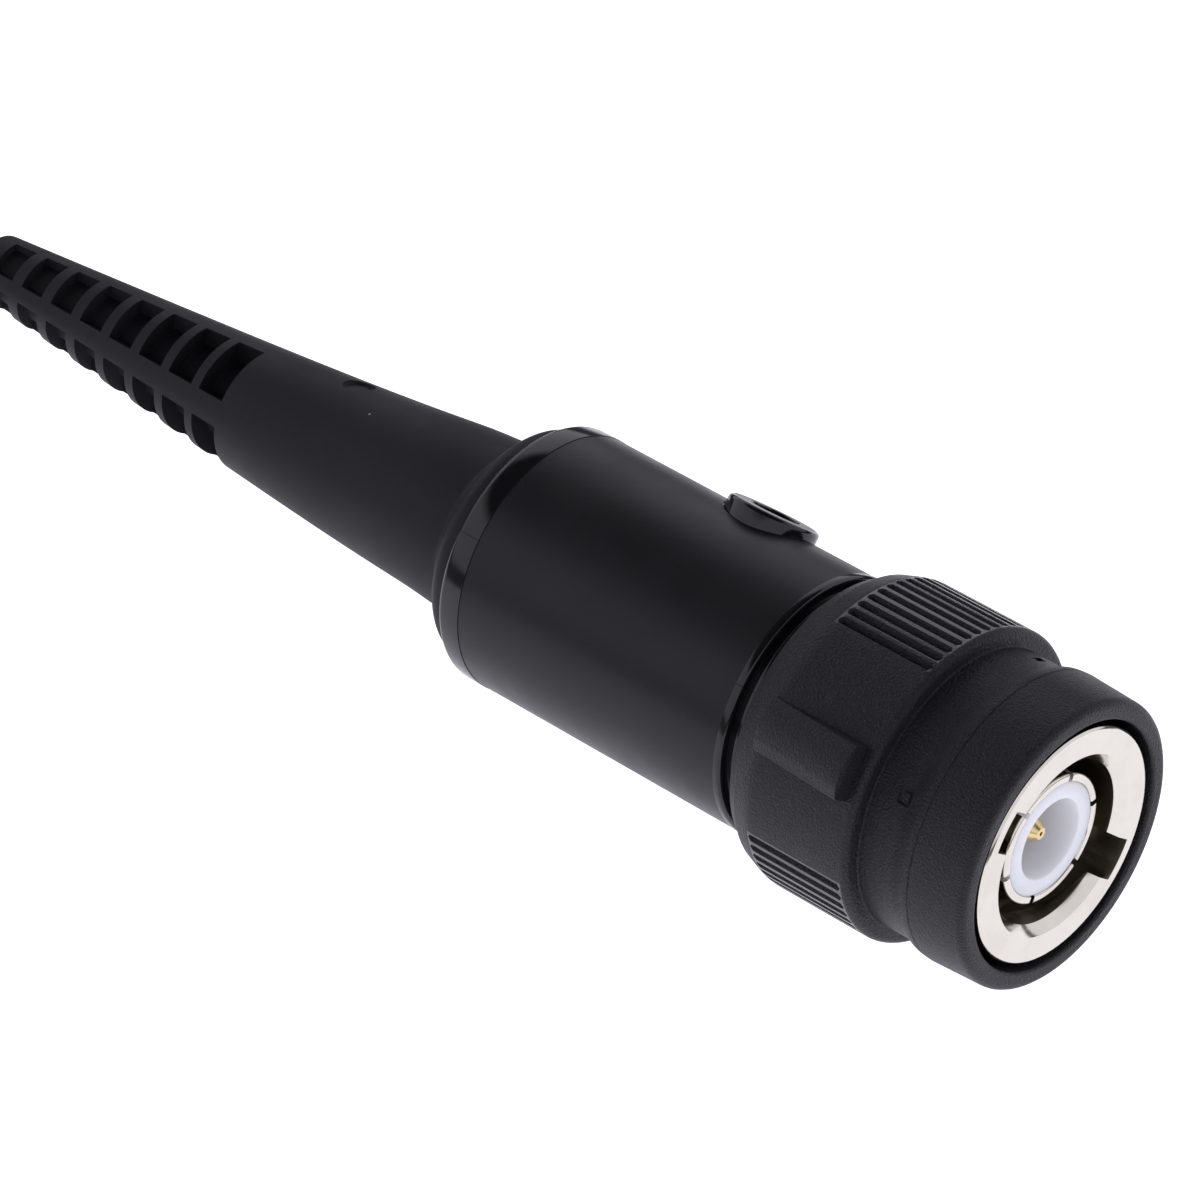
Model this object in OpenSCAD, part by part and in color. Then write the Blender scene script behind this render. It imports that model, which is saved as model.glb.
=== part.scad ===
// Scope-end plug of a passive voltage probe.
//
// The bayonet plug turns inside an insulating coupling sleeve, the compensation
// box behind it is a barrel of two half shells, and a slotted rubber boot ends
// the barrel where the cable comes out.
//
// Frame, in mm: +X points out of the plug's mouth along the common axis, +Z is
// up. X = 0 is the rim of the outer contact. Clock angles are measured about X
// from the -Y side towards +Z.

/* [Coupling sleeve] */

// Outside diameter of the grip knob
knob_d = 19.4; // [18:0.1:21]
// Front face of the knob, measured back from the contact rim
knob_front = 6.65; // [6:0.05:8]
// Length of the knob
knob_len = 9.4; // [8.6:0.1:9.6]
// Outside diameter of the neck between the knob and the shroud
neck_d = 17.3; // [16.8:0.1:17.8]
// Outside diameter of the shroud around the bayonet ring
shroud_d = 18.1; // [17.6:0.1:18.8]
// How far the shroud's rim stands in front of the contact rim
rim_lead = 1.05; // [0.9:0.05:1.5]
// Bore of the shroud's mouth
mouth_d = 15.4; // [15.1:0.1:15.8]
// Clock angle of the first grip pad
sleeve_clock = 33.5; // [-180:0.5:180]
// Grooves in each of the two ribbed grip fields
rib_count = 20; // [8:1:24]
// Angle between neighbouring grooves
rib_pitch = 4.9; // [4.2:0.1:6]
// Depth of a groove
rib_depth = 0.36; // [0.2:0.02:0.6]
// Length of the ribbed field
rib_len = 6.3; // [5:0.1:6.6]
// Setback of a grip pad from the knob's front face
pad_setback = 0.75; // [0.6:0.05:1.2]
// Length of a grip pad along the axis
pad_len = 6.4; // [5:0.1:6.8]
// Width of a grip pad at its foot
pad_w = 3.1; // [2.4:0.1:4]
// Height of a grip pad's front over the knob
pad_h = 1.65; // [1:0.05:1.8]
// Height that the pad falls to at its rear end
pad_rear_h = 0.35; // [0.3:0.05:0.6]

/* [Bayonet ring] */

// Outside diameter of the bayonet ring
ring_d = 14.5; // [14.3:0.05:14.7]
// Length of the bayonet ring
ring_len = 10.75; // [10.4:0.05:10.9]
// Bore that slides over the mating socket
ring_bore_d = 10.1; // [9.8:0.05:10.3]
// Depth of the two lug channels, as a diameter
channel_d = 13.1; // [12.6:0.1:13.3]
// Width of a lug channel
channel_w = 2.5; // [2.2:0.05:2.8]
// Turn from the channel's mouth to its detent
cam_turn = 80; // [70:1:88]
// How much deeper the cam ends than it starts
cam_climb = 1.85; // [1.4:0.05:2.1]
// Forward step of the detent pocket at the cam's end
detent_step = 0.35; // [0.2:0.05:0.5]
// Clock angle of the first channel mouth
ring_clock = 38.4; // [-180:0.2:180]
// Forward travel of the sprung coupling
float_travel = 0.6; // [0.3:0.05:0.6]

/* [Contacts] */

// Outside diameter of the split outer contact
contact_d = 8.1; // [8.0:0.02:8.14]
// Wall of the outer contact
contact_wall = 0.55; // [0.45:0.05:0.55]
// Length of the contact fingers
finger_len = 4.6; // [3.8:0.1:4.8]
// Number of slots between the fingers
finger_slots = 6; // [4:1:8]
// Width of a finger slot
slot_w = 0.35; // [0.25:0.05:0.45]
// Clock angle of the first finger slot
slot_clock = 53; // [0:1:90]
// Diameter of the centre pin
pin_d = 1.35; // [1.32:0.01:1.37]
// How far the pin's tip sits behind the contact rim
pin_recess = 0.75; // [0.5:0.05:1.2]
// Bore of the white insulator around the pin
insulator_bore_d = 4.95; // [4.8:0.05:5.0]

/* [Barrel] */

// Outside diameter of the barrel
barrel_d = 16.3; // [16:0.1:16.8]
// Front edge of the barrel, measured back from the contact rim
barrel_front = 17.2; // [17:0.05:18]
// Length of the barrel
barrel_len = 21.65; // [21:0.05:23]
// Clock angle of the trimmer boss
trimmer_clock = 129.5; // [-180:0.5:180]
// Distance of the trimmer's axis behind the contact rim
trimmer_back = 25.3; // [25:0.1:26]
// Outside diameter of the trimmer boss
boss_d = 5.7; // [5.2:0.1:6]
// Height of the boss over the barrel
boss_h = 0.62; // [0.4:0.02:0.9]
// Thickness of the label film
film_t = 0.1; // [0.08:0.01:0.15]

/* [Strain relief boot] */

// Overall length from the contact rim to the boot's tip
tip_back = 85.5; // [80:0.5:90]
// Outside diameter of the boot just behind its shoulder
boot_root_d = 11.2; // [11:0.1:12]
// Outside diameter of the boot at its tip
boot_tip_d = 4.2; // [3.8:0.05:4.6]
// Bore for the cable
cable_bore_d = 2.7; // [2.4:0.05:2.9]
// Distance of the first flex windows behind the contact rim
window_back = 61.1; // [58:0.1:62]
// Spacing of the flex windows along the boot
window_pitch = 2.81; // [2.6:0.01:2.9]
// Number of windows in each row
window_count = 8; // [4:1:8]
// Length of the first window; the last is a little shorter
window_len = 1.9; // [1.5:0.05:2]
// Angle that each window spans
window_span = 61; // [50:1:66]
// Clock angle of the first window row
window_clock = 60.5; // [0:0.5:90]

/* [Hidden] */

$fn = 96;
e = 0.01;

// Clearances that the pieces share
slip = 0.05;
gap = 0.03;

// Contacts and insulators
contact_r = contact_d / 2;
contact_bore_r = contact_r - contact_wall;
contact_exposed = 5.3;
contact_root = -contact_exposed;
contact_root_r = contact_r + 0.25;
insulator_r = contact_bore_r;
insulator_bore_r = insulator_bore_d / 2;
insulator_face = -0.05;
pin_r = pin_d / 2;
pin_root_r = pin_r + 0.3;
pin_collar_r = pin_r + 0.55;
pin_tail_r = 0.45;
pin_root = contact_root + 1.4;

// Bayonet ring
ring_r = ring_d / 2;
ring_front = rim_lead - 0.2;
ring_rear = ring_front - ring_len;
ring_bore_r = ring_bore_d / 2;
ring_mouth_chamfer = 0.56;
ring_guide_r = ring_bore_r + 1.05;
channel_r = channel_d / 2;
cam_start = ring_front - 1.6;
cam_end = cam_start - cam_climb;
detent_clear = 0.1;
key_len = 4;

// Plug body
gasket_t = 0.6;
gasket_clear = 0.15;
gasket_r = ring_bore_r - gasket_clear;
flange_front = contact_root - gasket_t;
flange_t = 1.2;
flange_rear = flange_front - flange_t;
flange_r = ring_guide_r - slip;
contact_seat = flange_front - flange_t / 2;
ring_step = flange_front + 0.35;
hub_r = contact_r + 0.2;
nose_front = -barrel_front + 2.8;
shoulder_t = 2;
shoulder_r = flange_r + 0.45;
shoulder_front = nose_front + shoulder_t;
stem_r = contact_r - slip;
nose_wall_t = 1.4;
nose_wall_rear = nose_front - nose_wall_t;
stem_len = 4.4;
stem_rear = nose_wall_rear - stem_len;
stem_bore_r = stem_r - 1.4;
insulator_step = nose_front - 0.4;
pin_collar_front = contact_root - 1.1;
insulator_split = pin_collar_front - 1.6;
pin_collar_rear = insulator_split - 2.2;

// Washers behind the flange, and the clip that holds them in the ring
wave_t = 0.22;
wave_free = float_travel + wave_t + 0.33;
wave_front = flange_rear - 0.02;
wave_rear = wave_front - wave_free;
washer_bore_r = hub_r + 0.35;
washer_r = ring_guide_r - 0.25;
thrust_t = 0.35;
thrust_front = wave_rear - slip;
thrust_rear = thrust_front - thrust_t;
groove_front = thrust_rear - 0.1;
clip_t = 0.55;
clip_front = groove_front - gap;
groove_r = ring_guide_r + 0.55;
groove_rear = clip_front - clip_t - gap;
clip_r = groove_r - slip;
clip_bore_r = hub_r + 0.9;
clip_gap = 18;
clip_ear_clock = 24;

// Barrel
barrel_r = barrel_d / 2;
barrel_rear = -barrel_front - barrel_len;
wall = 1.2;
cavity_r = barrel_r - wall;
rear_wall_front = barrel_rear + 1.65;
nose_r = barrel_r - 0.65;
boot_neck_r = 5.2;
film_r = barrel_r - 0.04;
film_bed_r = film_r - film_t;
film_front = -barrel_front - 0.55;
film_rear = barrel_rear + 0.85;
film_gap = 1.2;
boss_r = boss_d / 2;
boss_top = barrel_r + boss_h;
boss_edge = 0.12;
post_r = 1.25;
hole_r = post_r + 0.3;
tongue_h = 0.5;
tongue_r = cavity_r + 0.45;
tongue_inset = 0.5;

// Coupling sleeve
knob_r = knob_d / 2;
neck_r = neck_d / 2;
shroud_r = shroud_d / 2;
mouth_r = mouth_d / 2;
knob_rear = -knob_front - knob_len;
grip_start = ring_front - 4.25;
grip_r = ring_r - 0.35;
grip_rear = ring_rear - 1;
skirt_r = nose_r + 0.45;
skirt_front = nose_front + 0.6;
grip_margin = 1.35;
dimple_x = -knob_front + 2.05;
latch_xs = [dimple_x + 1.15, dimple_x - 0.35];

// Compensation box
can_r = cavity_r - 0.25;
can_t = 0.25;
can_front = nose_wall_rear;
can_rear = rear_wall_front + 2.4;
washer_t = 0.5;
nut_t = 2.2;
board_top = -0.6;
board_t = 1;
board_w = 2 * can_r - 1.6;
board_front = stem_rear - 0.2;
board_rear = can_rear + 1.4;
notch_inset = 2.8;
notch_r = 0.7;
wire_inset = 1;
wire_r = 0.45;
tab_len = 1.8;
tab_w = 0.3;
tab_h = 0.5;
tab_front_inset = 2;
tab_rear_inset = 5.2;
trimmer_x = -trimmer_back;
trimmer_r = 2.5;
trimmer_base_h = 2.4;
trimmer_cap_h = 0.7;
trimmer_top = board_top + trimmer_base_h + trimmer_cap_h;
rotor_disc_r = trimmer_r - 0.4;
rotor_disc_t = 0.8;
rotor_disc = trimmer_top + slip;
rotor_recess = 0.35;
rotor_edge = 0.15;
rotor_slot_w = 0.4;
rotor_slot_depth = 0.7;
pivot_r = 0.8;
pivot_floor = 0.9;
pivot_tip_gap = 0.3;
terminal_len = 1.2;
terminal_w = 1;
terminal_t = 0.25;
chip_len = 2;
chip_w = 1.25;
resistor_h = 0.5;
capacitor_h = 0.9;
front_chip_side = 3.4;
wide_side = 2.2;
near_side = 1.9;
pin_tail_rear = board_front - 1.9;
front_chip = board_front - 1.5;
trimmer_rear = trimmer_x - trimmer_r;
chip_room = trimmer_rear - board_rear;
middle_chip = trimmer_rear - 0.285 * chip_room;
rear_chip = trimmer_rear - 0.68 * chip_room;

// Cable anchor
ferrule_bore_r = 1.75;
ferrule_r = ferrule_bore_r + 0.45;
crimp_bore_r = ferrule_r + 0.45;
crimp_r = crimp_bore_r + 0.35;

// Boot
boot_front = barrel_rear + 3.1;
boot_shoulder_r = barrel_r - 0.1;
tip = -tip_back;
root = barrel_rear - 2.65;
root_r = boot_root_d / 2;
tip_r = boot_tip_d / 2;
cable_r = cable_bore_d / 2;
crimp_rear = root - 3.5;
window_depth_r = cable_r + 1.3;
gate_back = window_back - 6.7;
gate_clock = 107;

function boot_r(x) = root_r + (x - root) * (tip_r - root_r) / (tip - root);
function core_r(x) =
    window_depth_r + (x + window_back) * (cable_r + 0.35 - window_depth_r) / (tip + window_back);

sleeve_col = [0.16, 0.16, 0.17];
nickel = [0.78, 0.77, 0.74];
gold = [0.86, 0.7, 0.36];
white_ptfe = [0.93, 0.94, 0.97];
gloss_black = [0.05, 0.05, 0.055];
steel = [0.6, 0.6, 0.6];

// ---- Helpers ---------------------------------------------------------------

// Turns local +Z to a clock angle about X.
module at_clock(angle) {
    rotate([90 - angle, 0, 0]) children();
}

// Solid of revolution about X from points [x, radius].
module turned(points) {
    rotate([0, 90, 0])
        rotate_extrude()
            polygon([for (p = points) [p[1], p[0]]]);
}

// The same, only between two clock angles.
module turned_part(from, to, points) {
    rotate([270 - to, 0, 0])
        rotate([0, 90, 0])
            rotate_extrude(angle = to - from)
                polygon([for (p = points) [p[1], p[0]]]);
}

module rod(front, rear, r) {
    translate([rear, 0, 0]) rotate([0, 90, 0]) cylinder(h = front - rear, r = r);
}

module tube(front, rear, outer, inner) {
    turned([[front, inner], [front, outer], [rear, outer], [rear, inner]]);
}

// Half of space on one side of the plane that the barrel's shells meet in.
module shell_half(side) {
    at_clock(trimmer_clock)
        translate([-tip_back, -knob_d, side > 0 ? 0 : -knob_d])
            cube([tip_back, 2 * knob_d, knob_d]);
}

// Points of an arc in [x, radius], for rounded profile corners.
function arc(cx, cr, r, from, to, steps = 6) =
    [for (i = [0:steps])
        let (a = from + (to - from) * i / steps)
            [cx + r * cos(a), cr + r * sin(a)]];

// ---- Coupling sleeve -------------------------------------------------------

// One V groove of the ribbed grip, with run-out at both ends.
module rib_groove() {
    half = 0.44;
    run = 0.45;
    tip_w = half - rib_depth - 0.07;
    middle = rib_len - 2 * run;
    translate([-knob_front - grip_margin - rib_len, 0, knob_r + half - rib_depth])
        rotate([0, 90, 0]) {
            cylinder(h = run, r1 = tip_w, r2 = half, $fn = 4);
            translate([0, 0, run]) cylinder(h = middle, r = half, $fn = 4);
            translate([0, 0, run + middle])
                cylinder(h = run, r1 = half, r2 = tip_w, $fn = 4);
        }
}

// Pad that rises to the front, with drafted sides and a crown that slopes with it.
module grip_pad() {
    front = -knob_front - pad_setback;
    foot = knob_r - 0.8;
    top = knob_r + pad_h;
    draft = 0.3;
    crown_r = pad_w * 0.8;
    slope = atan((pad_h - pad_rear_h) / pad_len);
    intersection() {
        translate([front - pad_len, 0, 0]) rotate([90, 0, 90])
            linear_extrude(pad_len)
                polygon([[-pad_w / 2, foot], [pad_w / 2, foot],
                         [pad_w / 2 - draft, top], [-pad_w / 2 + draft, top]]);
        translate([front, 0, top]) rotate([0, -slope, 0])
            translate([-2 * pad_len, 0, -crown_r])
                rotate([0, 90, 0]) cylinder(h = 3 * pad_len, r = crown_r);
    }
}

module coupling_sleeve() {
    corner = 0.25;
    seam = -2.78;
    color(sleeve_col)
    difference() {
        union() {
            turned(concat(
                [[rim_lead, mouth_r]],
                arc(rim_lead - corner, shroud_r - corner, corner, 0, 90),
                // mould shut-off line around the shroud
                [[seam + 0.06, shroud_r], [seam, shroud_r - 0.06],
                 [seam - 0.06, shroud_r - 0.01]],
                // flare down to the neck
                [[seam - 0.42, shroud_r - 0.05], [seam - 0.82, shroud_r - 0.17],
                 [seam - 1.22, neck_r + 0.08], [seam - 1.72, neck_r]],
                [[-knob_front + 0.3, neck_r], [-knob_front + 0.08, neck_r + 0.1],
                 [-knob_front, neck_r + 0.3]],
                arc(-knob_front - 0.45, knob_r - 0.45, 0.45, 0, 90),
                [[knob_rear + 2.4, knob_r], [knob_rear + 1.9, knob_r - 0.1],
                 [knob_rear + 1.3, knob_r - 0.28], [knob_rear + 0.85, knob_r - 0.5],
                 [knob_rear, knob_r - 1.05], [knob_rear, skirt_r]],
                [[skirt_front, skirt_r], [skirt_front, ring_r], [grip_rear, ring_r],
                 [grip_rear, grip_r], [ring_rear, grip_r], [ring_rear, ring_r],
                 [grip_start, ring_r],
                 [grip_start, mouth_r]]
            ));
            for (side = [0, 180])
                at_clock(sleeve_clock + side) grip_pad();
        }
        for (side = [90, 270], i = [0:rib_count - 1])
            at_clock(sleeve_clock + side + (i - (rib_count - 1) / 2) * rib_pitch)
                rib_groove();
        // blind dimples on the neck, one over each parting line
        for (side = [0, 180])
            at_clock(sleeve_clock + side)
                translate([dimple_x, 0, neck_r - 0.15]) cylinder(h = 1, r = 0.42);
        // latch slots beside the ribbed fields
        for (side = [0, 180], x = latch_xs)
            at_clock(sleeve_clock + 88 + side)
                translate([x - 0.3, -0.45, neck_r - 0.5]) cube([0.5, 0.9, 2]);
    }
}

// ---- Bayonet ring and its washers ------------------------------------------

// Helical part of one lug channel: a block swept round the bore as it goes deeper.
module cam_ramp() {
    steps = 16;
    inner = ring_bore_r - 1;
    points = [for (i = [0:steps])
        let (a = ring_clock + cam_turn * i / steps, x = cam_start - cam_climb * i / steps)
            for (c = [[-1, inner], [1, inner], [1, ring_r], [-1, ring_r]])
                [x + c[0] * channel_w / 2, -c[1] * cos(a), c[1] * sin(a)]];
    last = 4 * steps;
    sides = [for (i = [0:steps - 1], k = [0:3])
        let (p = 4 * i + k, q = 4 * i + (k + 1) % 4)
            each [[p, q, q + 4], [p, q + 4, p + 4]]];
    ends = [[2, 1, 0], [3, 2, 0],
            [last, last + 1, last + 2], [last, last + 2, last + 3]];
    polyhedron(points = points, faces = concat(sides, ends), convexity = 4);
}

// Straight entry, ramp, and the round pocket that the lug springs back into.
module lug_channel() {
    foot = cam_start - channel_w / 2 + 0.02;
    intersection() {
        rod(ring_front + 1, ring_rear, channel_r);
        union() {
            at_clock(ring_clock) translate([foot, -channel_w / 2, insulator_r])
                cube([ring_len, channel_w, ring_r]);
            at_clock(ring_clock + cam_turn)
                translate([cam_end + detent_step, 0, insulator_r])
                    cylinder(h = ring_r, r = channel_w / 2 + detent_clear);
            cam_ramp();
        }
    }
}

module bayonet_ring() {
    color(nickel)
    difference() {
        turned([
            [ring_front, ring_bore_r + ring_mouth_chamfer],
            [ring_front, ring_r - 0.12], [ring_front - 0.12, ring_r],
            [ring_rear, ring_r], [ring_rear, ring_guide_r],
            [groove_rear, ring_guide_r], [groove_rear, groove_r],
            [groove_front, groove_r], [groove_front, ring_guide_r],
            [ring_step, ring_guide_r], [ring_step, ring_bore_r],
            [ring_front - ring_mouth_chamfer, ring_bore_r]
        ]);
        for (side = [0, 180]) rotate([side, 0, 0]) lug_channel();
        // axial keys that the sleeve's moulding grips
        for (i = [0:11])
            at_clock(15 + 30 * i)
                translate([ring_rear - 1, 0, ring_r + 0.15])
                    rotate([0, 90, 0]) cylinder(h = key_len + 1, r = 0.4, $fn = 32);
    }
}

module retaining_clip() {
    ear_r = 0.8;
    clip_rear = clip_front - clip_t;
    color(steel)
    difference() {
        union() {
            turned_part(clip_gap, 360 - clip_gap, [[clip_front, clip_bore_r],
                [clip_front, clip_r], [clip_rear, clip_r], [clip_rear, clip_bore_r]]);
            for (a = [clip_ear_clock, -clip_ear_clock])
                at_clock(a) translate([clip_rear, 0, clip_bore_r + 0.3])
                    rotate([0, 90, 0]) cylinder(h = clip_t, r = ear_r, $fn = 48);
        }
        for (a = [clip_ear_clock, -clip_ear_clock])
            at_clock(a) translate([clip_rear - 1, 0, clip_bore_r + 0.2])
                rotate([0, 90, 0]) cylinder(h = clip_t + 2, r = 0.35, $fn = 32);
    }
}

module thrust_washer() {
    color(steel)
        tube(thrust_front, thrust_rear, washer_r, washer_bore_r);
}

// Flat wire ring with three waves between the flange and the thrust washer.
module wave_washer() {
    waves = 3;
    n = 72;
    mid = (wave_front + wave_rear) / 2;
    swing = (wave_free - wave_t) / 2;
    ring = [for (i = [0:n - 1])
        let (a = 360 * i / n, x = mid + swing * sin(waves * a))
            [[x - wave_t / 2, washer_bore_r, a], [x + wave_t / 2, washer_bore_r, a],
             [x + wave_t / 2, washer_r, a], [x - wave_t / 2, washer_r, a]]];
    points = [for (s = ring, p = s) [p[0], p[1] * cos(p[2]), p[1] * sin(p[2])]];
    faces = [for (i = [0:n - 1], k = [0:3])
        let (j = (i + 1) % n, m = (k + 1) % 4)
            [4 * i + k, 4 * i + m, 4 * j + m, 4 * j + k]];
    color(steel) polyhedron(points = points, faces = faces, convexity = 6);
}

// ---- Plug body and contacts ------------------------------------------------

module plug_body() {
    flat_w = 2 * shoulder_r - 1.2;
    color(nickel)
    difference() {
        turned([
            [flange_front, contact_root_r], [flange_front, flange_r - 0.15],
            [flange_front - 0.15, flange_r], [flange_rear, flange_r],
            [flange_rear, hub_r], [shoulder_front, hub_r],
            [shoulder_front, shoulder_r - 0.15], [shoulder_front - 0.15, shoulder_r],
            [nose_front, shoulder_r], [nose_front, stem_r],
            [stem_rear + 0.3, stem_r], [stem_rear, stem_r - 0.3],
            [stem_rear, stem_bore_r], [insulator_step, stem_bore_r],
            [insulator_step, insulator_r],
            [contact_seat, insulator_r], [contact_seat, contact_root_r]
        ]);
        // spanner flats on the shoulder
        for (side = [0, 180])
            at_clock(trimmer_clock + 90 + side)
                translate([nose_front - e, -shoulder_r, flat_w / 2])
                    cube([shoulder_t + 2 * e, 2 * shoulder_r, shoulder_r]);
    }
}

module outer_contact() {
    color(nickel)
    difference() {
        turned([
            [0, contact_bore_r + 0.1], [0, contact_r - 0.15], [-0.15, contact_r],
            [contact_root, contact_r], [contact_root, contact_root_r],
            [contact_seat, contact_root_r], [contact_seat, contact_bore_r],
            [-0.1, contact_bore_r]
        ]);
        for (i = [0:finger_slots - 1])
            at_clock(slot_clock + 360 / finger_slots * i)
                translate([-finger_len, -slot_w / 2, contact_r / 2])
                    cube([finger_len + 1, slot_w, contact_r]);
    }
}

module face_gasket() {
    color([0.55, 0.22, 0.16])
        tube(contact_root, flange_front, gasket_r, contact_root_r);
}

module front_insulator() {
    color(white_ptfe)
        turned([
            [insulator_face, insulator_bore_r + 0.08],
            [insulator_face, insulator_r - 0.12], [insulator_face - 0.12, insulator_r],
            [insulator_split, insulator_r], [insulator_split, pin_collar_r],
            [pin_collar_front, pin_collar_r], [pin_collar_front, pin_root_r],
            [pin_root, pin_root_r], [pin_root, insulator_bore_r],
            [insulator_face - 0.08, insulator_bore_r]
        ]);
}

module rear_insulator() {
    color(white_ptfe)
        turned([
            [insulator_split, pin_collar_r], [insulator_split, insulator_r],
            [insulator_step, insulator_r], [insulator_step, stem_bore_r],
            [stem_rear + 0.6, stem_bore_r], [stem_rear + 0.6, pin_tail_r],
            [pin_collar_rear, pin_tail_r], [pin_collar_rear, pin_collar_r]
        ]);
}

module centre_pin() {
    front = -pin_recess;
    vent_r = 0.13;
    color(gold)
    turned([
        [front - 0.25, 0], [front - 0.25, vent_r], [front, vent_r], [front, 0.36],
        [front - 0.42, pin_r], [pin_root, pin_r], [pin_root, pin_root_r],
        [pin_collar_front, pin_root_r], [pin_collar_front, pin_collar_r],
        [pin_collar_rear, pin_collar_r], [pin_collar_rear, pin_tail_r],
        [pin_tail_rear, pin_tail_r], [pin_tail_rear, 0]
    ]);
}

// Toothed washer between the shield's front and the nut.
module lock_washer() {
    front = can_front - can_t;
    teeth = 12;
    tooth_gap = 0.7;
    outer = stem_r + 1.6;
    color(steel)
    difference() {
        tube(front, front - washer_t, outer, stem_r);
        for (i = [0:teeth - 1])
            at_clock(360 / teeth * i)
                translate([front - 2 * washer_t, -tooth_gap / 2, outer - 0.7])
                    cube([3 * washer_t, tooth_gap, outer]);
    }
}

module body_nut() {
    front = can_front - can_t - washer_t;
    rear = front - nut_t;
    across = 10;
    corner_r = across / 2 / cos(30);
    chamfer_r = across / 2 + 0.35;
    color(nickel)
    intersection() {
        difference() {
            translate([rear, 0, 0]) rotate([0, 90, 0])
                cylinder(h = nut_t, r = corner_r, $fn = 6);
            rod(front + 1, rear - 1, stem_r);
        }
        turned([[front, 0], [front, chamfer_r], [front - 0.3, corner_r + gap],
                [rear + 0.3, corner_r + gap], [rear, chamfer_r], [rear, 0]]);
    }
}

// ---- Compensation box ------------------------------------------------------

module shield_can() {
    color([0.72, 0.66, 0.5])
    difference() {
        turned([
            [can_front, stem_r], [can_front, can_r - 0.3], [can_front - 0.3, can_r],
            [can_rear, can_r], [can_rear, can_r - can_t],
            [can_front - can_t, can_r - can_t], [can_front - can_t, stem_r]
        ]);
        at_clock(trimmer_clock)
            translate([trimmer_x, 0, trimmer_r]) cylinder(h = can_r, r = trimmer_r + 0.4);
    }
}

module circuit_board() {
    notch_x = board_rear + notch_inset;
    wire_x = board_rear + wire_inset;
    color([0.1, 0.35, 0.18])
    at_clock(trimmer_clock)
    difference() {
        translate([board_rear, -board_w / 2, board_top - board_t])
            cube([board_front - board_rear, board_w, board_t]);
        // a fixing notch in each edge, and the hole for the cable's inner wire
        for (side = [-1, 1])
            translate([notch_x, side * board_w / 2, board_top - 2 * board_t])
                cylinder(h = 3 * board_t, r = notch_r, $fn = 48);
        translate([wire_x, 0, board_top - 2 * board_t])
            cylinder(h = 3 * board_t, r = wire_r, $fn = 48);
    }
}

module ground_tabs() {
    color(steel)
    at_clock(trimmer_clock)
    for (side = [-1, 1], x = [board_front - tab_front_inset, board_rear + tab_rear_inset])
        translate([x - tab_len / 2, side > 0 ? board_w / 2 : -board_w / 2 - tab_w,
                   board_top - (board_t + tab_h) / 2])
            cube([tab_len, tab_w, tab_h]);
}

module trimmer_body() {
    color([0.82, 0.72, 0.5])
    at_clock(trimmer_clock) translate([trimmer_x, 0, board_top])
    difference() {
        union() {
            cylinder(h = trimmer_base_h, r = trimmer_r);
            cylinder(h = trimmer_base_h + trimmer_cap_h, r = rotor_disc_r);
        }
        translate([0, 0, pivot_floor]) cylinder(h = trimmer_r + barrel_r, r = pivot_r + slip);
    }
}

module trimmer_rotor() {
    top = boss_top - rotor_recess;
    pivot_tip = board_top + pivot_floor + pivot_tip_gap;
    post_foot = rotor_disc + rotor_disc_t - gap;
    color([0.12, 0.12, 0.12])
    at_clock(trimmer_clock) translate([trimmer_x, 0, 0])
    difference() {
        union() {
            translate([0, 0, pivot_tip]) cylinder(h = rotor_disc - pivot_tip + gap, r = pivot_r);
            translate([0, 0, rotor_disc]) cylinder(h = rotor_disc_t, r = rotor_disc_r);
            translate([0, 0, post_foot]) cylinder(h = top - rotor_edge - post_foot, r = post_r);
            translate([0, 0, top - rotor_edge])
                cylinder(h = rotor_edge, r1 = post_r, r2 = post_r - rotor_edge);
        }
        translate([-2 * post_r, -rotor_slot_w / 2, top - rotor_slot_depth])
            cube([4 * post_r, rotor_slot_w, 2 * rotor_slot_depth]);
    }
}

module trimmer_terminals() {
    color(steel)
    at_clock(trimmer_clock) translate([trimmer_x, 0, board_top])
    for (side = [-1, 1])
        translate([-terminal_len / 2, side > 0 ? trimmer_r : -trimmer_r - terminal_w, 0])
            cube([terminal_len, terminal_w, terminal_t]);
}

// One chip part, standing on the board.
module chip(x, y, turn, height) {
    translate([x, y, board_top]) rotate([0, 0, turn])
        translate([-chip_len / 2, -chip_w / 2, 0]) cube([chip_len, chip_w, height]);
}

module chip_resistors() {
    color([0.12, 0.12, 0.13])
    at_clock(trimmer_clock) {
        chip(front_chip, -front_chip_side, 0, resistor_h);
        chip(middle_chip, -wide_side, 90, resistor_h);
        chip(rear_chip, near_side, 90, resistor_h);
    }
}

module chip_capacitors() {
    color([0.62, 0.48, 0.33])
    at_clock(trimmer_clock) {
        chip(front_chip, front_chip_side, 0, capacitor_h);
        chip(middle_chip, near_side, 90, capacitor_h);
        chip(rear_chip, -wide_side, 90, capacitor_h);
    }
}

// Closes the shield's rear and carries the braid on its stem.
module cable_ferrule() {
    front = can_rear + 0.6;
    stem_start = can_rear - 1.6;
    stem_end = crimp_rear - 0.2;
    color(nickel)
    turned([
        [front, ferrule_bore_r], [front, can_r - can_t], [can_rear, can_r - can_t],
        [can_rear, crimp_bore_r], [stem_start, crimp_bore_r], [stem_start, ferrule_r],
        [stem_end, ferrule_r], [stem_end, ferrule_bore_r]
    ]);
}

module crimp_sleeve() {
    color(nickel)
        tube(can_rear - 0.5, crimp_rear, crimp_r, crimp_bore_r);
}

// ---- Barrel ----------------------------------------------------------------

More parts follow.
